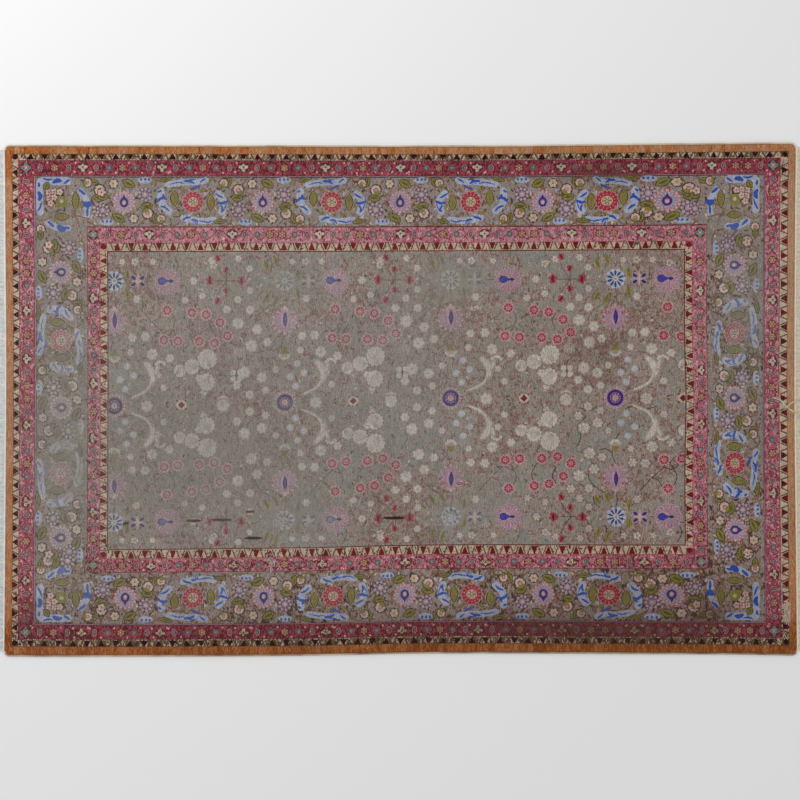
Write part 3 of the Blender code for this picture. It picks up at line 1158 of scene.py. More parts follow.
# Wear and repairs that took the knots away or put others in: slits, bare spots, rosettes worn down to their
# foundation, and a mended place, all in u and v. Each slit is a line of dark knots, painted shade down in
# the split, and one pale spot is a painted highlight, glints of light on the silk.
SLITS = [
    [(-664, -285), (-650, -283)],
    [(-512, -280), (-478, -280)],
    [(-454, -278), (-404, -279)],
    [(-370, -260), (-350, -259)],
    [(-374, -325), (-352, -324), (-330, -325)],
    [(-42, -282), (10, -283)],
]
rug_place = Place(0, 0, 1, 0, 0, 1)
# Dark knots along each slit: painted shade down in the split.
for points in SLITS:
    stroke(rug_place, points, 7.5, "outline")
    stroke(rug_place, points, 5.2, "black brown")

BareSpotOrGlint = namedtuple("BareSpotOrGlint", "u v half_u half_v dye")

# Bare spots worn down to the foundation, and one painted highlight of glints on the silk.
BARE_SPOTS_AND_GLINT = [
    BareSpotOrGlint(18, 195, 13, 13, "guard white"),
    # Painted highlight: pale dashes that stand for glints of light on the silk pile.
    BareSpotOrGlint(178, 219, 20, 8, "guard white"),
    BareSpotOrGlint(-289, -286, 30, 26, "guard grey"),
    BareSpotOrGlint(-289, -286, 20, 17, "sky blue"),
    BareSpotOrGlint(-222, -286, 24, 22, "guard grey"),
    BareSpotOrGlint(-222, -286, 16, 14, "sky blue"),
    BareSpotOrGlint(117, -286, 28, 26, "guard grey"),
    BareSpotOrGlint(117, -286, 20, 18, "sky blue"),
    BareSpotOrGlint(-309, -383, 10, 27, "sky blue"),
    BareSpotOrGlint(-309, -383, 7, 24, "field fawn"),
]
torn_or_glint_dashes = dashes(2, 3, 21)
for bare_or_glint in BARE_SPOTS_AND_GLINT:
    reach = max(bare_or_glint.half_u, bare_or_glint.half_v) + 2
    spot = Patch(rug_place, bare_or_glint.u, bare_or_glint.v, reach)
    row = np.searchsorted(knot_v, bare_or_glint.v - reach)
    column = np.searchsorted(knot_u, bare_or_glint.u - reach)
    torn_or_glint_here = torn_or_glint_dashes[row:row + spot.knots.shape[0], column:column + spot.knots.shape[1]]
    near_by = (spot.a / bare_or_glint.half_u) ** 2 + (spot.b / bare_or_glint.half_v) ** 2
    spot.dye(torn_or_glint_here > 0.35 + 0.65 * near_by, bare_or_glint.dye)
Patch(rug_place, 924, -508, 26).box(7.5, 22, "cream")
stroke(rug_place, [(922, -488), (927, -498), (921, -508), (926, -518), (921, -526)], 2.6, "field teal")

# The pile's surface: one sheet over the chart's cells, on the real uneven outline of part.py.
HALF_LENGTH = HALF_LENGTH_MM / 1000
HALF_WIDTH = HALF_WIDTH_MM / 1000
CORNER_RADIUS = 0.012
PILE_TOP = 0.0059
PILE_EDGE_DROP = 0.0010
RIM_LEVELS = [(0.0026, 0.0002), (0.0006, -0.0004)]  # height, and how far it stands out

EdgePoint = namedtuple("EdgePoint", "along out")

FAR_EDGE = [
    EdgePoint(-0.945, -0.0015),
    EdgePoint(-0.480, -0.0016),
    EdgePoint(-0.050, -0.0025),
    EdgePoint(0.240, -0.0018),
    EdgePoint(0.380, -0.0006),
    EdgePoint(0.530, 0.0013),
    EdgePoint(0.670, 0.0025),
    EdgePoint(0.810, 0.0037),
    EdgePoint(0.910, 0.0047),
    EdgePoint(0.945, 0.0047),
]
NEAR_EDGE = [
    EdgePoint(-0.945, 0.0044),
    EdgePoint(-0.910, 0.0047),
    EdgePoint(-0.480, 0.0045),
    EdgePoint(-0.190, 0.0024),
    EdgePoint(0.000, -0.0017),
    EdgePoint(0.240, -0.0027),
    EdgePoint(0.530, -0.0010),
    EdgePoint(0.810, 0.0004),
    EdgePoint(0.945, 0.0028),
]
LEFT_EDGE = [
    EdgePoint(-0.606, 0.0028),
    EdgePoint(-0.300, 0.0004),
    EdgePoint(0.100, -0.0018),
    EdgePoint(0.400, 0.0002),
    EdgePoint(0.606, 0.0018),
]
RIGHT_EDGE = [
    EdgePoint(-0.606, 0.0034),
    EdgePoint(-0.350, 0.0006),
    EdgePoint(0.000, -0.0030),
    EdgePoint(0.350, -0.0018),
    EdgePoint(0.606, 0.0004),
]


def stands_out(edge, along):
    """How far an edge stands out at places along it, on a smooth line through its points."""
    places = np.array([point.along for point in edge])
    outs = np.array([point.out for point in edge])
    slopes = np.gradient(outs, places)
    at = np.clip(along, places[0], places[-1])
    i = np.clip(np.searchsorted(places, at, side="right") - 1, 0, len(places) - 2)
    span = places[i + 1] - places[i]
    t = (at - places[i]) / span
    rise = t * t * (3 - 2 * t)
    bend = slopes[i] * t * (1 - t) ** 2 - slopes[i + 1] * t * t * (1 - t)
    return outs[i] * (1 - rise) + outs[i + 1] * rise + bend * span


def as_woven(u, v):
    """The real place of a point of the true rectangle, with the rug's uneven edges."""
    right_share = (u / HALF_LENGTH + 1) / 2
    far_share = (v / HALF_WIDTH + 1) / 2
    x = u + right_share * stands_out(RIGHT_EDGE, v) - (1 - right_share) * stands_out(LEFT_EDGE, v)
    y = v + far_share * stands_out(FAR_EDGE, u) - (1 - far_share) * stands_out(NEAR_EDGE, u)
    return x, y


def drifted(u, v):
    """Points of the cloth moved a little in its plane, since the weave runs askew in two places."""
    askew = (0.0055 + 0.0045 * np.exp(-((v / 0.12) ** 2))) * np.exp(-(((u - 0.690) / 0.075) ** 2))
    leftward = np.clip((0.12 - u) / 0.80, 0, 1) * np.clip((u + 0.80) / 0.10, 0, 1)
    sag = 0.0157 * leftward * np.exp(-(((v + 0.05) / np.where(v > -0.05, 0.25, 0.30)) ** 2))
    return u + askew, v - sag


def rounded_corners(u, v):
    """Draws the four corner squares of the rectangle in to quarter rounds."""
    a = np.clip((abs(u) - HALF_LENGTH) / CORNER_RADIUS + 1, 0, 1)
    b = np.clip((abs(v) - HALF_WIDTH) / CORNER_RADIUS + 1, 0, 1)
    in_u = CORNER_RADIUS * a * (1 - np.sqrt(1 - b**2 / 2))
    in_v = CORNER_RADIUS * b * (1 - np.sqrt(1 - a**2 / 2))
    return u - np.sign(u) * in_u, v - np.sign(v) * in_v


# Soft rises and creases that stay in the cloth where it was folded, in metres.
Crease = namedtuple("Crease", "u v half_long half_wide turn_deg height")

CREASES = [
    Crease(-0.76, 0.112, 0.13, 0.010, -2, 0.0016),
    Crease(-0.50, -0.180, 0.07, 0.008, 8, 0.0012),
    Crease(0.40, 0.53, 0.10, 0.020, 80, 0.0010),
    Crease(-0.02, 0.55, 0.09, 0.018, 86, 0.0012),
    Crease(-0.26, 0.56, 0.08, 0.020, 95, 0.0010),
    Crease(0.16, -0.56, 0.09, 0.018, 92, 0.0010),
    Crease(-0.32, -0.40, 0.12, 0.012, 88, 0.0012),
    Crease(0.78, -0.10, 0.16, 0.016, 90, 0.0010),
]


def ground_rise(u, v):
    """How far the cloth lies off the floor: broad slack, and the creases."""
    rise = 0.0003 * (1 + np.sin(7.1 * u + 1.3) * np.cos(9.7 * v - 0.4))
    rise = rise + 0.0002 * (1 + np.sin(17.0 * u - 11.0 * v + 0.7))
    for crease in CREASES:
        turn = math.radians(crease.turn_deg)
        along = (u - crease.u) * math.cos(turn) + (v - crease.v) * math.sin(turn)
        across = (v - crease.v) * math.cos(turn) - (u - crease.u) * math.sin(turn)
        shape = np.exp(-(along / crease.half_long) ** 2 - (across / crease.half_wide) ** 2)
        rise = rise + crease.height * shape
    return rise


def sheet_mesh(name, points, quads):
    """A mesh object of many faces, with smooth shading."""
    mesh = bpy.data.meshes.new(name)
    mesh.vertices.add(len(points))
    mesh.vertices.foreach_set("co", np.asarray(points, np.float32).ravel())
    mesh.loops.add(quads.size)
    mesh.loops.foreach_set("vertex_index", quads.astype(np.int32).ravel())
    mesh.polygons.add(len(quads))
    mesh.polygons.foreach_set("loop_start", np.arange(0, quads.size, 4, dtype=np.int32))
    mesh.polygons.foreach_set("use_smooth", np.ones(len(quads), bool))
    mesh.update(calc_edges=True)
    mesh.validate()
    made = bpy.data.objects.new(name, mesh)
    bpy.context.scene.collection.objects.link(made)
    return made


def grid_quads(columns, rows):
    """Corner numbers of the quads of a grid of points, row by row, facing up."""
    first = np.arange(rows)[:, None] * (columns + 1) + np.arange(columns)[None, :]
    quads = np.stack([first, first + 1, first + columns + 2, first + columns + 1], axis=-1)
    return quads.reshape(-1, 4)


def rim_loop(columns, rows):
    """The numbers of a grid's outermost points, once round, with the grid on the left."""
    number = np.arange((columns + 1) * (rows + 1)).reshape(rows + 1, columns + 1)
    return np.concatenate([number[0, :-1], number[:-1, -1], number[-1, :0:-1], number[:0:-1, 0]])


pile_u, pile_v = np.meshgrid(
    np.linspace(-HALF_LENGTH, HALF_LENGTH, CELLS_LONG + 1),
    np.linspace(-HALF_WIDTH, HALF_WIDTH, CELLS_WIDE + 1),
)
pile_x, pile_y = as_woven(*drifted(*rounded_corners(pile_u, pile_v)))
to_edge = np.minimum(HALF_LENGTH - abs(pile_u), HALF_WIDTH - abs(pile_v))
pile_z = PILE_TOP + ground_rise(pile_u, pile_v) - PILE_EDGE_DROP * np.exp(-to_edge / 0.0035)
pile_points = np.stack([pile_x, pile_y, pile_z], axis=-1).reshape(-1, 3)
pile_quads = grid_quads(CELLS_LONG, CELLS_WIDE)

loop = rim_loop(CELLS_LONG, CELLS_WIDE)
loop_points = pile_points[loop]
outward = loop_points[:, :2] - np.roll(loop_points[:, :2], 1, axis=0)
outward = np.stack([outward[:, 1], -outward[:, 0]], axis=-1)
outward /= np.linalg.norm(outward, axis=1)[:, None] + 1e-9
last_row = loop
for height, out in RIM_LEVELS:
    row_points = loop_points.copy()
    row_points[:, :2] += out * outward
    row_points[:, 2] = height
    new_row = len(pile_points) + np.arange(len(loop))
    pile_points = np.concatenate([pile_points, row_points])
    strip = np.stack([last_row, new_row, np.roll(new_row, -1), np.roll(last_row, -1)], axis=-1)
    pile_quads = np.concatenate([pile_quads, strip])
    last_row = new_row

rug_pile = sheet_mesh("rug_pile", pile_points, pile_quads)

# Every cell carries its knots as four numbers, one for each row of knots: the dye of each knot
# is one digit of the number in base 32.
BASE = 32


def carry_chart(piece, knots, rim_faces):
    """Gives each cell of a sheet its knots' dyes, and the faces of its rim the plain edge's."""
    rows, columns = knots.shape[0] // KNOTS_PER_CELL, knots.shape[1] // KNOTS_PER_CELL
    cells = knots.reshape(rows, KNOTS_PER_CELL, columns, KNOTS_PER_CELL).astype(float)
    weights = float(BASE) ** np.arange(KNOTS_PER_CELL)
    numbers = cells @ weights
    rim = np.full(rim_faces, DYE_NUMBER["orange"] * weights.sum())
    for row in range(KNOTS_PER_CELL):
        layer = piece.data.attributes.new(f"knot_row_{row}", "FLOAT", "FACE")
        values = np.concatenate([numbers[:, row].ravel(), rim])
        layer.data.foreach_set("value", values.astype(np.float32))


carry_chart(rug_pile, chart, len(pile_quads) - CELLS_LONG * CELLS_WIDE)

cell_u = np.arange(CELLS_LONG + 1, dtype=float)
cell_v = np.arange(CELLS_WIDE + 1, dtype=float)
grid_uv = np.stack(np.meshgrid(cell_u, cell_v), axis=-1).reshape(-1, 2)
point_uv = np.concatenate([grid_uv] + [grid_uv[loop]] * len(RIM_LEVELS))
corner_points = pile_quads.ravel()
knot_map = rug_pile.data.uv_layers.new(name="knots")
knot_map.data.foreach_set("uv", point_uv[corner_points].astype(np.float32).ravel())

# Wear and shade: soft spots laid where the real pile is faded or stained, and where it is darker; the darker
# spot along the fold crease at u -0.76 is painted shade.
Spot = namedtuple("Spot", "u v half_u half_v amount")

FADED = [
    Spot(-0.45, 0.05, 0.40, 0.36, 0.32),
    Spot(-0.10, 0.05, 0.35, 0.30, 0.15),
    Spot(-0.50, -0.20, 0.28, 0.16, 0.28),
    Spot(0.05, 0.10, 0.10, 0.18, 0.25),
    Spot(-0.80, -0.08, 0.11, 0.34, 0.60),
    Spot(0.82, 0.18, 0.09, 0.20, 0.42),
    Spot(-0.215, 0.288, 0.035, 0.035, 0.55),
    Spot(-0.30, -0.50, 0.50, 0.10, 0.05),
    Spot(-0.281, 0.288, 0.030, 0.030, 0.90),
    Spot(-0.289, -0.286, 0.045, 0.045, 0.55),
    Spot(-0.215, -0.286, 0.035, 0.035, 0.50),
    Spot(-0.165, -0.286, 0.025, 0.025, 0.30),
    Spot(-0.440, -0.240, 0.090, 0.030, 0.30),
    Spot(0.121, 0.288, 0.060, 0.055, 0.75),
    Spot(0.18, 0.288, 0.028, 0.028, 0.50),
    Spot(0.117, -0.286, 0.045, 0.045, 0.60),
    Spot(0.178, -0.286, 0.028, 0.028, 0.50),
]
STAINED = [
    Spot(0.48, 0.545, 0.12, 0.025, 0.45),
    Spot(0.35, -0.55, 0.22, 0.028, 0.40),
    Spot(0.62, -0.555, 0.22, 0.028, 0.35),
    Spot(-0.89, -0.51, 0.02, 0.04, 0.45),
    Spot(0.74, -0.51, 0.04, 0.03, 0.45),
    Spot(0.47, 0.10, 0.06, 0.05, 0.20),
    Spot(0.00, -0.54, 1.00, 0.06, 0.16),
    Spot(-0.52, -0.12, 0.30, 0.20, 0.13),
    Spot(0.62, -0.46, 0.25, 0.07, 0.26),
]
# Darker spots along the long edges and at the right end, and painted shade along one fold crease.
DARKENED_AND_CREASE_SHADE = [
    Spot(0.30, -0.560, 0.80, 0.06, 0.46),
    Spot(0.30, 0.560, 0.70, 0.03, 0.36),
    Spot(-0.60, 0.555, 0.30, 0.02, 0.14),
    Spot(0.00, -0.600, 1.00, 0.03, 0.20),
    Spot(0.85, -0.30, 0.06, 0.35, 0.12),
    Spot(0.62, -0.46, 0.25, 0.07, 0.25),
    # Painted shade along the fold crease at u -0.76.
    Spot(-0.76, 0.112, 0.12, 0.012, 0.45),
]


def soft_spots(spots, u, v):
    """How strongly some spots wear the pile at places, from 0 to 1, softer away from each."""
    total = np.zeros_like(u)
    for spot in spots:
        off = ((u - spot.u) / spot.half_u) ** 2 + ((v - spot.v) / spot.half_v) ** 2
        total += spot.amount * np.exp(-off)
    return np.clip(total, 0, 1)


# The red and dark dyes of the guards and the bands of triangles have kept far more colour.
FADED_IN_RED = 0.3


def lies_between(outer, inner):
    """Which points of the pile lie in a band, by its two ends."""
    points_mm = 1000 * pile_u, 1000 * pile_v

    def within(band):
        return (
            (points_mm[0] > band.left - HALF_LENGTH_MM)
            & (points_mm[0] < HALF_LENGTH_MM - band.right)
            & (points_mm[1] > band.near - HALF_WIDTH_MM)
            & (points_mm[1] < HALF_WIDTH_MM - band.far)
        )

    return within(outer) & ~within(inner)


WHOLE_RUG = Band(-9, -9, -9, -9)
in_red_bands = lies_between(WHOLE_RUG, OUTER_GUARD) | lies_between(MAIN_BORDER, INNER_TRIANGLES)
for layer_name, spots in (("faded", FADED), ("stained", STAINED), ("darkened_and_crease_shade", DARKENED_AND_CREASE_SHADE)):
    amounts = soft_spots(spots, pile_u, pile_v)
    if layer_name == "faded":
        amounts *= np.where(in_red_bands, FADED_IN_RED, 1.0)
    amounts = amounts.ravel()
    values = np.concatenate([amounts] + [amounts[loop]] * len(RIM_LEVELS))
    layer = rug_pile.data.attributes.new(layer_name, "FLOAT", "POINT")
    layer.data.foreach_set("value", values.astype(np.float32))


def linear(colour):
    """An sRGB hex colour as linear red, green, blue and full cover."""
    parts = [int(colour[i:i + 2], 16) / 255 for i in (0, 2, 4)]
    return [p / 12.92 if p <= 0.04045 else ((p + 0.055) / 1.055) ** 2.4 for p in parts] + [1.0]


def node(tree, kind, settings, links):
    """Adds a shader node with its settings, and gives each input a value or a socket."""
    made = tree.nodes.new(kind)
    for name, value in settings.items():
        setattr(made, name, value)
    for name, value in links.items():
        if isinstance(value, bpy.types.Node):
            value = value.outputs[0]
        if isinstance(value, bpy.types.NodeSocket):
            tree.links.new(value, made.inputs[name])
        else:
            made.inputs[name].default_value = value
    return made


def new_material(name):
    """A material with an empty node tree but for its output."""
    material = bpy.data.materials.new(name)
    material.use_nodes = True
    material.node_tree.nodes.clear()
    material.node_tree.nodes.new("ShaderNodeOutputMaterial")
    return material


def maths(tree, operation, *values):
    """A number worked out from up to three others."""
    return node(tree, "ShaderNodeMath", {"operation": operation}, dict(enumerate(values)))


def vector_maths(tree, operation, values):
    return node(tree, "ShaderNodeVectorMath", {"operation": operation}, values)


def stored(tree, name):
    """A value that the mesh carries."""
    return node(tree, "ShaderNodeAttribute", {"attribute_name": name}, {}).outputs["Fac"]


def own_place(tree):
    return node(tree, "ShaderNodeTexCoord", {}, {}).outputs["Object"]


def noise(tree, place, scale, detail, roughness=0.5):
    values = {"Vector": place, "Scale": scale, "Detail": detail, "Roughness": roughness}
    return node(tree, "ShaderNodeTexNoise", {}, values)


def ranged(tree, value, low, high, from_low=0.0, from_high=1.0):
    """A value carried over from one range to another."""
    ends = {"From Min": from_low, "From Max": from_high, "To Min": low, "To Max": high}
    return node(tree, "ShaderNodeMapRange", {}, {"Value": value, **ends})


def blend(tree, share, first, second):
    """Two colours mixed, by the second one's share."""
    return node(tree, "ShaderNodeMix", {"data_type": "RGBA"}, {0: share, 6: first, 7: second}).outputs[2]


def bumps(tree, height, strength, distance):
    return node(tree, "ShaderNodeBump", {}, {"Height": height, "Strength": strength, "Distance": distance})


def finish_surface(tree, finish):
    """Gives the material's output the finish that meets the light."""
    shader = node(tree, "ShaderNodeBsdfPrincipled", {}, finish)
    tree.links.new(shader.outputs[0], tree.nodes["Material Output"].inputs["Surface"])


def dye_from_chart(tree, knot_place):
    """The dye of the knot at a place that counts cells: picks the row, then the digit."""
    in_cell = vector_maths(tree, "FRACTION", {0: knot_place})
    in_knots = vector_maths(tree, "SCALE", {0: in_cell, "Scale": KNOTS_PER_CELL})
    knot_in_cell = vector_maths(tree, "FLOOR", {0: in_knots})
    column_row = node(tree, "ShaderNodeSeparateXYZ", {}, {0: knot_in_cell})
    column, row = column_row.outputs["X"], column_row.outputs["Y"]
    number = stored(tree, "knot_row_0")
    divisor = 1.0
    for step in range(1, KNOTS_PER_CELL):
        past_row = maths(tree, "GREATER_THAN", row, step - 0.5)
        next_row = stored(tree, f"knot_row_{step}")
        number = node(tree, "ShaderNodeMix", {}, {0: past_row, 2: number, 3: next_row})
        past_column = maths(tree, "GREATER_THAN", column, step - 0.5)
        more = float(BASE**step - BASE ** (step - 1))
        divisor = maths(tree, "MULTIPLY_ADD", past_column, more, divisor)
    whole = maths(tree, "FLOOR", maths(tree, "DIVIDE", number, divisor))
    digit = maths(tree, "MODULO", whole, float(BASE))
    share = maths(tree, "DIVIDE", maths(tree, "ADD", digit, 0.5), float(BASE))
    dyes = node(tree, "ShaderNodeValToRGB", {}, {0: share})
    dyes.color_ramp.interpolation = "CONSTANT"
    stops = dyes.color_ramp.elements
    for i, colour in enumerate(DYES.values()):
        stop = stops[i] if i < 2 else stops.new(i / BASE)
        stop.position = i / BASE
        stop.color = linear(colour)
    return dyes


# Cut silk pile, hand-knotted and old: each knot is its own small soft dot of dye, the rows run
# in slightly different batches of it, and the cut ends are matt with a faint silky sheen.
silk = new_material("knotted_silk_pile")
tree = silk.node_tree
knot_place = node(tree, "ShaderNodeUVMap", {"uv_map": "knots"}, {})
dyes = dye_from_chart(tree, knot_place)

# Uneven dye: each knot a little lighter or darker, and the batches of yarn in bands of rows.
knots_only = vector_maths(tree, "SCALE", {0: knot_place, "Scale": KNOTS_PER_CELL})
knot_cell = vector_maths(tree, "FLOOR", {0: knots_only})
per_knot = node(tree, "ShaderNodeTexWhiteNoise", {"noise_dimensions": "2D"}, {"Vector": knot_cell})
place = own_place(tree)
rows_run = node(tree, "ShaderNodeMapping", {}, {"Vector": place, "Scale": (400.0, 55.0, 1.0)})
streaks = noise(tree, rows_run, 1.0, 4.0, 0.65)
clouds = noise(tree, place, 9.0, 5.0, 0.6)
knot_light = ranged(tree, per_knot, 0.72, 1.28)
streak_light = ranged(tree, streaks, 0.70, 1.30, 0.3, 0.7)
cloud_light = ranged(tree, clouds, 0.88, 1.12, 0.3, 0.7)
# The darkened spots make the pile darker; along the fold crease this is painted shade.
dark_light = ranged(tree, stored(tree, "darkened_and_crease_shade"), 1.0, 0.6)
light = maths(tree, "MULTIPLY", knot_light, streak_light)
light = maths(tree, "MULTIPLY", light, cloud_light)
light = maths(tree, "MULTIPLY", light, dark_light)
tints = node(
    tree, "ShaderNodeMapRange", {"data_type": "FLOAT_VECTOR"},
    {6: per_knot.outputs["Color"], 9: (0.92, 0.94, 0.91), 10: (1.08, 1.06, 1.09)},
)
tinted = vector_maths(tree, "MULTIPLY", {0: dyes.outputs["Color"], 1: tints.outputs[1]})
dyed = vector_maths(tree, "SCALE", {0: tinted, "Scale": light})

# Faded pile goes towards the grey of the silk, and stains go towards dark brown.
wear = ranged(tree, noise(tree, place, 45.0, 4.0), 0.6, 1.4, 0.3, 0.7)
fade = maths(tree, "MULTIPLY", stored(tree, "faded"), wear)
dye_left = maths(tree, "MULTIPLY_ADD", fade, -0.9, 1.0)
washed = node(tree, "ShaderNodeHueSaturation", {}, {"Color": dyed, "Saturation": dye_left})
worn = blend(tree, maths(tree, "MULTIPLY", fade, 0.7), washed, linear("8D8577"))
aged = blend(tree, stored(tree, "stained"), worn, linear("4A322A"))

# The knots stand in soft bumps, about a quarter of a millimetre high.
knot_turns = vector_maths(tree, "SCALE", {0: knots_only, "Scale": 2 * math.pi})
turn_parts = node(tree, "ShaderNodeSeparateXYZ", {}, {0: knot_turns})
wave_u = maths(tree, "COSINE", turn_parts.outputs["X"])
wave_v = maths(tree, "COSINE", turn_parts.outputs["Y"])
knot_height = maths(tree, "ADD", wave_u, wave_v)
uneven_height = maths(tree, "MULTIPLY_ADD", per_knot, -1.5, knot_height)
finish_surface(
    tree,
    {
        "Base Color": aged,
        "Roughness": 0.8,
        "Specular IOR Level": 0.12,
        "Sheen Weight": 0.03,
        "Sheen Roughness": 0.4,
        "Normal": bumps(tree, uneven_height, 0.5, 0.00012),
    },
)
rug_pile.data.materials.append(silk)
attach(rug_pile, "root")
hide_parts("rug_body")

# The back of the weave
# The same knots seen from below: flatter, duller and coarser, without pile. It is one cloth
# with the pile, and lies a little above the floor wherever the rug does.
BACK_HEIGHT = 0.0006
BACK_INSET = 0.0004
BACK_CELLS_LONG = CELLS_LONG // 2
BACK_CELLS_WIDE = CELLS_WIDE // 2

back_u, back_v = np.meshgrid(
    np.linspace(-HALF_LENGTH + BACK_INSET, HALF_LENGTH - BACK_INSET, BACK_CELLS_LONG + 1),
    np.linspace(-HALF_WIDTH + BACK_INSET, HALF_WIDTH - BACK_INSET, BACK_CELLS_WIDE + 1),
)
back_x, back_y = as_woven(*drifted(*rounded_corners(back_u, back_v)))
back_edge = np.minimum(HALF_LENGTH - abs(back_u), HALF_WIDTH - abs(back_v))
back_z = BACK_HEIGHT + ground_rise(back_u, back_v) * (1 - np.exp(-back_edge / 0.01))
back_points = np.stack([back_x, back_y, back_z], axis=-1).reshape(-1, 3)
back_quads = grid_quads(BACK_CELLS_LONG, BACK_CELLS_WIDE)[:, ::-1]
rug_back = sheet_mesh("rug_back", back_points, back_quads)
carry_chart(rug_back, chart[1::2, 1::2], 0)
back_uv = np.meshgrid(np.arange(BACK_CELLS_LONG + 1.0), np.arange(BACK_CELLS_WIDE + 1.0))
back_uv = np.stack(back_uv, axis=-1).reshape(-1, 2)
back_map = rug_back.data.uv_layers.new(name="knots")
back_map.data.foreach_set("uv", back_uv[back_quads.ravel()].astype(np.float32).ravel())

# Woven silk back: every knot shows as two ribs of its dye, dulled by dust and the pale wefts.
back_cloth = new_material("woven_silk_back")
tree = back_cloth.node_tree
knot_place = node(tree, "ShaderNodeUVMap", {"uv_map": "knots"}, {})
dyes = dye_from_chart(tree, knot_place)
per_rib = vector_maths(tree, "SCALE", {0: knot_place, "Scale": KNOTS_PER_CELL})
rib_turn = vector_maths(tree, "SCALE", {0: per_rib, "Scale": 4 * math.pi})
rib_parts = node(tree, "ShaderNodeSeparateXYZ", {}, {0: rib_turn})
rib_wave = maths(tree, "COSINE", rib_parts.outputs["X"])
dust_share = ranged(tree, noise(tree, own_place(tree), 30.0, 5.0), 0.15, 0.5, 0.3, 0.7)
dulled = blend(tree, dust_share, dyes.outputs["Color"], linear("8F8576"))
rib_bump = bumps(tree, rib_wave, 0.6, 0.0002)
finish_surface(
    tree, {"Base Color": dulled, "Roughness": 0.85, "Specular IOR Level": 0.25, "Normal": rib_bump}
)
rug_back.data.materials.append(back_cloth)
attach(rug_back, "root")
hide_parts("rug_body")

# The selvedges
# Pale yarn wrapped round and round the outermost warps along both long sides, in turns that
# lie close together, drawn round both corners until the fringe begins.
SELVEDGE_RADIUS = 0.0025
SELVEDGE_GAP = 0.0003
SELVEDGE_WRAP_DEG = 50
WRAP_PITCH = 0.0042
RINGS_PER_WRAP = 4
POINTS_PER_RING = 10
WRAP_DEPTH = 0.00035
CORNER_STEPS = 24


def corner_arc(side_x, side_y, radius, start_deg, end_deg):
    """Points round one corner of the true rectangle, angles from +X towards +Y."""
    angles = np.radians(np.linspace(start_deg, end_deg, CORNER_STEPS))
    return np.stack(
        [
            side_x * (HALF_LENGTH - CORNER_RADIUS) + radius * np.cos(angles),
            side_y * (HALF_WIDTH - CORNER_RADIUS) + radius * np.sin(angles),
        ],
        axis=-1,
    )


def evenly_spaced(path, step):
    """Points a step apart along a path."""
    lengths = np.concatenate([[0], np.cumsum(np.linalg.norm(np.diff(path, axis=0), axis=1))])
    count = int(lengths[-1] / step)
    at = np.linspace(0, lengths[-1], count + 1)
    return np.stack([np.interp(at, lengths, path[:, i]) for i in range(path.shape[1])], axis=-1)


def tube_quads(rings, around):
    """The quads of a tube of rings of points, one after another."""
    ring, point = np.meshgrid(np.arange(rings - 1), np.arange(around), indexing="ij")
    after = (point + 1) % around
    quads = [ring * around + point, ring * around + after]
    quads += [(ring + 1) * around + after, (ring + 1) * around + point]
    return np.stack(quads, axis=-1).reshape(-1, 4)


def selvedge(name, side, seed):
    out = CORNER_RADIUS + SELVEDGE_GAP + SELVEDGE_RADIUS
    turn = side * SELVEDGE_WRAP_DEG
    first = corner_arc(-1, side, out, side * 90 + turn, side * 90)
    last = corner_arc(1, side, out, side * 90, side * 90 - turn)
    path = evenly_spaced(np.concatenate([first, last]), WRAP_PITCH / RINGS_PER_WRAP)
    x, y = as_woven(path[:, 0], path[:, 1])
    centre = np.stack([x, y], axis=-1)
    ahead = np.gradient(centre, axis=0)
    ahead /= np.linalg.norm(ahead, axis=1)[:, None]
    aside = np.stack([-ahead[:, 1], ahead[:, 0]], axis=-1)

    rings = len(centre)
    around = np.arange(POINTS_PER_RING) * 2 * math.pi / POINTS_PER_RING
    turns = np.arange(rings)[:, None] / RINGS_PER_WRAP - around[None, :] / (2 * math.pi)
    uneven = np.random.default_rng(seed).normal(0, 1, rings // RINGS_PER_WRAP + 3)
    wrap = np.floor(turns + 1).astype(int)
    radius = SELVEDGE_RADIUS * (1 + 0.03 * np.clip(uneven[wrap], -1.5, 1.5))
    radius -= WRAP_DEPTH * (0.5 + 0.5 * np.cos(2 * math.pi * turns))
    sideways = radius * np.cos(around)
    upward = np.maximum(SELVEDGE_RADIUS + radius * np.sin(around), 0.0)
    points = np.empty((rings, POINTS_PER_RING, 3))
    points[..., :2] = centre[:, None, :] + aside[:, None, :] * sideways[..., None]
    points[..., 2] = upward
    return sheet_mesh(name, points.reshape(-1, 3), tube_quads(rings, POINTS_PER_RING))


# Overcast silk and cotton yarn: soft and pale, soiled in places; the near side's yarn is darker all over.
def selvedge_material(name, clean, soiled):
    material = new_material(name)
    tree = material.node_tree
    place = own_place(tree)
    fibres = noise(tree, place, 900.0, 3.0)
    soil_share = ranged(tree, noise(tree, place, 14.0, 4.0), 0.0, 1.0, 0.35, 0.65)
    colour = blend(tree, soil_share, linear(clean), linear(soiled))
    lit = vector_maths(tree, "SCALE", {0: colour, "Scale": ranged(tree, fibres, 0.8, 1.15)})
    finish_surface(
        tree,
        {
            "Base Color": lit,
            "Roughness": 0.8,
            "Specular IOR Level": 0.3,
            "Sheen Weight": 0.1,
            "Normal": bumps(tree, fibres, 0.4, 0.0002),
        },
    )
    return material


for name, side, seed, clean, soiled in (
    ("selvedge_far_yarn", 1, 3, "E0D2B8", "BBA688"),
    ("selvedge_near_yarn", -1, 4, "CDBDA2", "8C7862"),
):
    piece = selvedge(name, side, seed)
    piece.data.materials.append(selvedge_material(name.replace("yarn", "wrapping"), clean, soiled))
    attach(piece, "root")
    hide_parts(name.removesuffix("_yarn"))

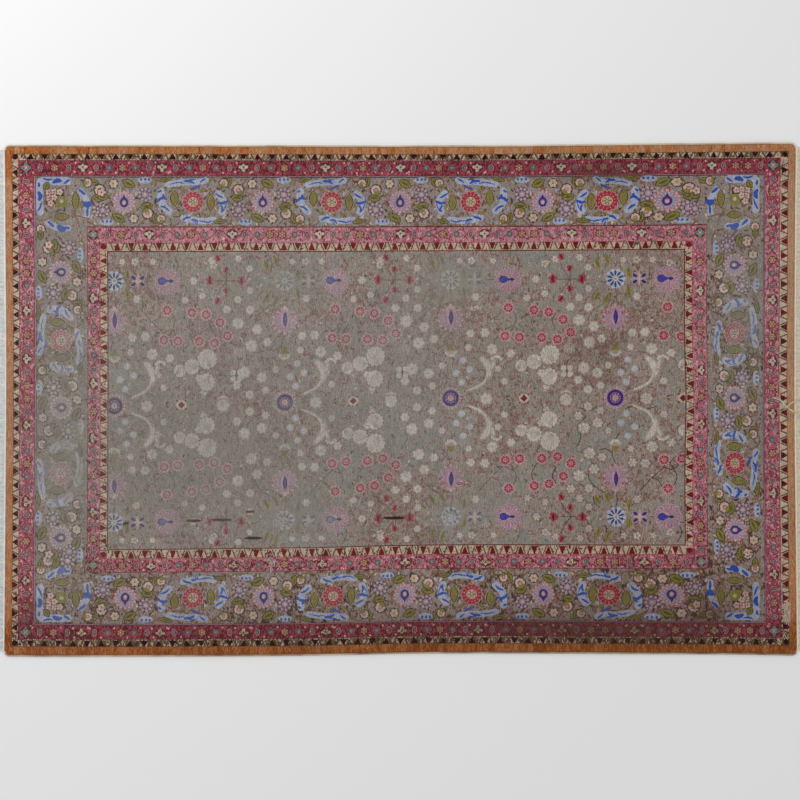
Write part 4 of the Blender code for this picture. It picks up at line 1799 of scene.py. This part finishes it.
# The fringes
# The rug's own warps, left uncut past a narrow plain-woven strip and gathered into flat-lying
# locks: loosely twisted silk yarns that thin out towards their tips.
STRIP_WIDTH = 0.005
STRIP_THICKNESS = 0.003
STRIP_END_SETBACK = 0.006
STRIP_CELL = 0.0025
FRINGE_REACH = 0.060
FRINGE_UNEVEN = 0.009
LOCKS_PER_END = 110
YARNS_PER_LOCK = 8
YARN_STEPS = 9
YARN_SIDES = 3

# One lock of fringe, root to tip: the share of its reach, its width and its height.
LockSection = namedtuple("LockSection", "share width height")

LOCK_SECTIONS = [
    LockSection(0.00, 0.0112, 0.0030),
    LockSection(0.48, 0.0092, 0.0027),
    LockSection(1.00, 0.0040, 0.0015),
]

# How far a lock's tip lies to one side, as two waves along the row of locks.
LeanWave = namedtuple("LeanWave", "amount step phase_left phase_right")

LEAN_WAVES = [
    LeanWave(0.0050, 0.31, 3.9, 1.1),
    LeanWave(0.0022, 1.27, 7.8, 2.2),
]


def lock_lean(index, end_side):
    """How far a lock's tip lies to one side of its root."""
    lean = 0.0
    for wave in LEAN_WAVES:
        phase = wave.phase_right if end_side > 0 else wave.phase_left
        lean += wave.amount * math.sin(wave.step * index + phase)
    return lean


def yarn_tube(line, radii):
    """Points of a thin yarn that lies along a line, three-sided, in rings."""
    ahead = np.gradient(line, axis=0)
    ahead /= np.linalg.norm(ahead, axis=1)[:, None]
    aside = np.cross(ahead, [0, 0, 1.0])
    aside /= np.linalg.norm(aside, axis=1)[:, None]
    above = np.cross(aside, ahead)
    around = np.radians(90 + 120 * np.arange(YARN_SIDES))
    offset = (
        np.cos(around)[None, :, None] * aside[:, None, :] + np.sin(around)[None, :, None] * above[:, None, :]
    )
    points = line[:, None, :] + radii[:, None, None] * offset
    return points.reshape(-1, 3)


def fringe(name, end_side, lock_seed, yarn_seed):
    half_strip = HALF_WIDTH - STRIP_END_SETBACK
    pitch = 2 * half_strip / LOCKS_PER_END
    shortness = np.random.default_rng(lock_seed).uniform(0, FRINGE_UNEVEN, LOCKS_PER_END)
    shortness -= shortness.min()
    draw = np.random.default_rng(yarn_seed)
    shares = np.linspace(0, 1, YARN_STEPS)
    section_shares = [section.share for section in LOCK_SECTIONS]
    widths = np.interp(shares, section_shares, [section.width for section in LOCK_SECTIONS])
    heights = np.interp(shares, section_shares, [section.height for section in LOCK_SECTIONS])
    points, quads, count = [], [], 0
    for lock in range(LOCKS_PER_END):
        root_v = -half_strip + (lock + 0.5) * pitch
        root_x, root_y = as_woven(end_side * (HALF_LENGTH + SELVEDGE_GAP + STRIP_WIDTH), np.array(root_v))
        tip_x = end_side * (HALF_LENGTH + FRINGE_REACH - shortness[lock])
        for yarn in range(YARNS_PER_LOCK):
            across = (yarn + 0.5) / YARNS_PER_LOCK - 0.5
            length = draw.uniform(0.86, 1.0)
            twist = draw.uniform(-1, 1)
            x = root_x - end_side * 0.002 + (tip_x - root_x) * shares * length
            wander = 0.0007 * np.sin(shares * draw.uniform(4, 9) + draw.uniform(0, 6.28)) * shares
            y = root_y + lock_lean(lock, end_side) * (shares * length) ** 2
            y = y + widths * across * np.cos(twist * shares * 1.6) * 0.9 + wander
            radii = np.interp(shares, [0, 0.5, 1], [0.00085, 0.0007, 0.0003])
            low = radii * 0.55
            share_up = 0.25 + 0.75 * abs(np.sin(shares * 3 + yarn * 2.1)) * (1 - abs(across))
            z = low + (heights - low - radii) * share_up
            points.append(yarn_tube(np.stack([x, y, np.maximum(z, low)], axis=-1), radii))
            quads.append(tube_quads(YARN_STEPS, YARN_SIDES) + count)
            count += YARN_STEPS * YARN_SIDES

    # The strip: plain weave, its ribs standing and falling by turns from cell to cell.
    rows = int(2 * half_strip / STRIP_CELL)
    columns = 4
    strip_v = np.linspace(-half_strip, half_strip, rows + 1)
    shares_across = np.linspace(0, 1, columns + 1)
    top_u, top_v = np.meshgrid(
        end_side * (HALF_LENGTH + SELVEDGE_GAP + STRIP_WIDTH * shares_across), strip_v
    )
    top_x, top_y = as_woven(top_u, top_v)
    checks = np.add.outer(np.arange(rows + 1), np.arange(columns + 1)) % 2
    top_z = STRIP_THICKNESS - 0.0007 * checks
    top_z[:, 0] = 0.0003
    top_z[:, -1] = 0.0006
    strip_points = np.stack([top_x, top_y, top_z], axis=-1).reshape(-1, 3)
    strip_quads = grid_quads(columns, rows)
    if end_side < 0:
        strip_quads = strip_quads[:, ::-1]
    points.append(strip_points)
    quads.append(strip_quads + count)
    return sheet_mesh(name, np.concatenate(points), np.concatenate(quads))


# Undyed silk warp yarn: pale, with long fine fibres and painted shade in streaks among them; the left end's
# painted shade is bluer, the right end is creamier.
def fringe_material(name, pale, shade):
    material = new_material(name)
    tree = material.node_tree
    place = own_place(tree)
    along = node(tree, "ShaderNodeMapping", {}, {"Vector": place, "Scale": (60.0, 1400.0, 400.0)})
    fibres = noise(tree, along, 1.0, 3.0)
    both = maths(tree, "MULTIPLY", fibres, noise(tree, place, 70.0, 2.0))
    share = ranged(tree, both, 0.0, 1.0, 0.1, 0.4)
    finish_surface(
        tree,
        {
            # The shade colour, in streaks along the fibres, is painted shade.
            "Base Color": blend(tree, share, linear(shade), linear(pale)),
            "Roughness": 0.6,
            "Sheen Weight": 0.3,
            "Normal": bumps(tree, fibres, 0.3, 0.0002),
        },
    )
    return material


for name, end_side, lock_seed, yarn_seed, pale, shade in (
    ("fringe_left_yarns", -1, 11, 31, "FFFFFB", "E2E5E2"),
    ("fringe_right_yarns", 1, 23, 32, "FFF6E0", "F4E6CA"),
):
    piece = fringe(name, end_side, lock_seed, yarn_seed)
    piece.data.materials.append(fringe_material(name.replace("yarns", "silk"), pale, shade))
    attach(piece, "root")
    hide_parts(name.removesuffix("_yarns"))

# The loose lock
# Five warp ends that have come out of the right edge: fine silk yarns that lie back over the
# pile in two strands, crossed.
LooseYarn = namedtuple("LooseYarn", "points radius")

LOOSE_YARNS = [
    LooseYarn(
        [(0.889, 0.006), (0.899, 0.002), (0.909, -0.002),
         (0.923, -0.018), (0.940, -0.029), (0.960, -0.037)],
        0.0010,
    ),
    LooseYarn(
        [(0.893, 0.002), (0.903, 0.001), (0.912, -0.004),
         (0.925, -0.020), (0.942, -0.028), (0.962, -0.034)],
        0.0009,
    ),
    LooseYarn(
        [(0.901, 0.006), (0.910, 0.000), (0.921, -0.013),
         (0.934, -0.027), (0.950, -0.036), (0.964, -0.045)],
        0.0009,
    ),
    LooseYarn(
        [(0.916, -0.024), (0.923, -0.018), (0.933, -0.010),
         (0.944, -0.003), (0.954, 0.001), (0.966, 0.003)],
        0.0010,
    ),
    LooseYarn(
        [(0.919, -0.027), (0.926, -0.018), (0.936, -0.009),
         (0.946, -0.004), (0.956, -0.003), (0.967, -0.004)],
        0.0009,
    ),
]
LOOSE_STEPS = 26
FRINGE_TOP = 0.0036  # where the yarns lie past the pile's edge

loose_points, loose_quads = [], []
for i, yarn in enumerate(LOOSE_YARNS):
    at = np.linspace(0, len(yarn.points) - 1, LOOSE_STEPS)
    base = np.arange(len(yarn.points))
    x, y = (np.interp(at, base, column) for column in np.array(yarn.points).T)
    x[1:-1] = (x[:-2] + 2 * x[1:-1] + x[2:]) / 4
    y[1:-1] = (y[:-2] + 2 * y[1:-1] + y[2:]) / 4
    on_pile = np.clip((HALF_LENGTH - 0.001 - x) / 0.006, 0, 1)
    height = FRINGE_TOP + on_pile * (PILE_TOP + ground_rise(x, y) - FRINGE_TOP)
    z = height + yarn.radius * (1 + 0.8 * (1 + np.sin(at * 2.3 + i * 1.9)))
    radii = yarn.radius * np.interp(at, [0, 0.6, base[-1]], [0.35, 1.0, 1.0])
    loose_quads.append(tube_quads(LOOSE_STEPS, YARN_SIDES) + i * LOOSE_STEPS * YARN_SIDES)
    loose_points.append(yarn_tube(np.stack([x, y, z], axis=-1), radii))
loose_lock = sheet_mesh("loose_warp_lock", np.concatenate(loose_points), np.concatenate(loose_quads))
loose_lock.data.materials.append(fringe_material("loose_warp_silk", "FFF4DC", "E2D0AE"))
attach(loose_lock, "root")

# Floor, light and camera
# A plain pale floor, an even bright room with one large soft lamp, and a camera straight above.
floor_mesh = bpy.data.meshes.new("floor")
FLOOR_HALF = 4.0
floor_corners = [(-FLOOR_HALF, -FLOOR_HALF, 0), (FLOOR_HALF, -FLOOR_HALF, 0)]
floor_corners += [(FLOOR_HALF, FLOOR_HALF, 0), (-FLOOR_HALF, FLOOR_HALF, 0)]
floor_mesh.from_pydata(floor_corners, [], [(0, 1, 2, 3)])
floor = bpy.data.objects.new("floor", floor_mesh)
bpy.context.scene.collection.objects.link(floor)
floor.location.z = -0.0005
floor_paint = new_material("pale_floor_paint")
finish_surface(floor_paint.node_tree, {"Base Color": linear("F8F8F8"), "Roughness": 0.9})
floor_mesh.materials.append(floor_paint)

room = bpy.data.worlds.new("room")
bpy.context.scene.world = room
room.use_nodes = True
background = room.node_tree.nodes["Background"]
background.inputs["Color"].default_value = (1, 1, 1, 1)
background.inputs["Strength"].default_value = 0.72

lamp_data = bpy.data.lights.new("soft_lamp", "AREA")
lamp_data.shape = "DISK"
lamp_data.size = 2.5
lamp_data.energy = 110
lamp = bpy.data.objects.new("soft_lamp", lamp_data)
bpy.context.scene.collection.objects.link(lamp)
LAMP_PLACE = (-2.0, 2.2, 3.6)
lamp.location = LAMP_PLACE
lamp.rotation_euler = (
    math.atan2(math.hypot(*LAMP_PLACE[:2]), LAMP_PLACE[2]),
    0,
    math.atan2(LAMP_PLACE[0], -LAMP_PLACE[1]) + math.pi,
)

PICTURE_WIDTH = 1.9152  # metres of the rug's plane that the frame shows
CAMERA_HEIGHT = 6.0
CAMERA_OFF_MIDDLE = (-0.0012, -0.0014)
SENSOR = 36.0
camera_data = bpy.data.cameras.new("camera")
camera_data.sensor_width = SENSOR
camera_data.lens = SENSOR * (CAMERA_HEIGHT - PILE_TOP) / PICTURE_WIDTH
camera = bpy.data.objects.new("camera", camera_data)
camera.location = (*CAMERA_OFF_MIDDLE, CAMERA_HEIGHT)
bpy.context.scene.collection.objects.link(camera)
bpy.context.scene.camera = camera
bpy.context.scene.view_settings.view_transform = "Standard"
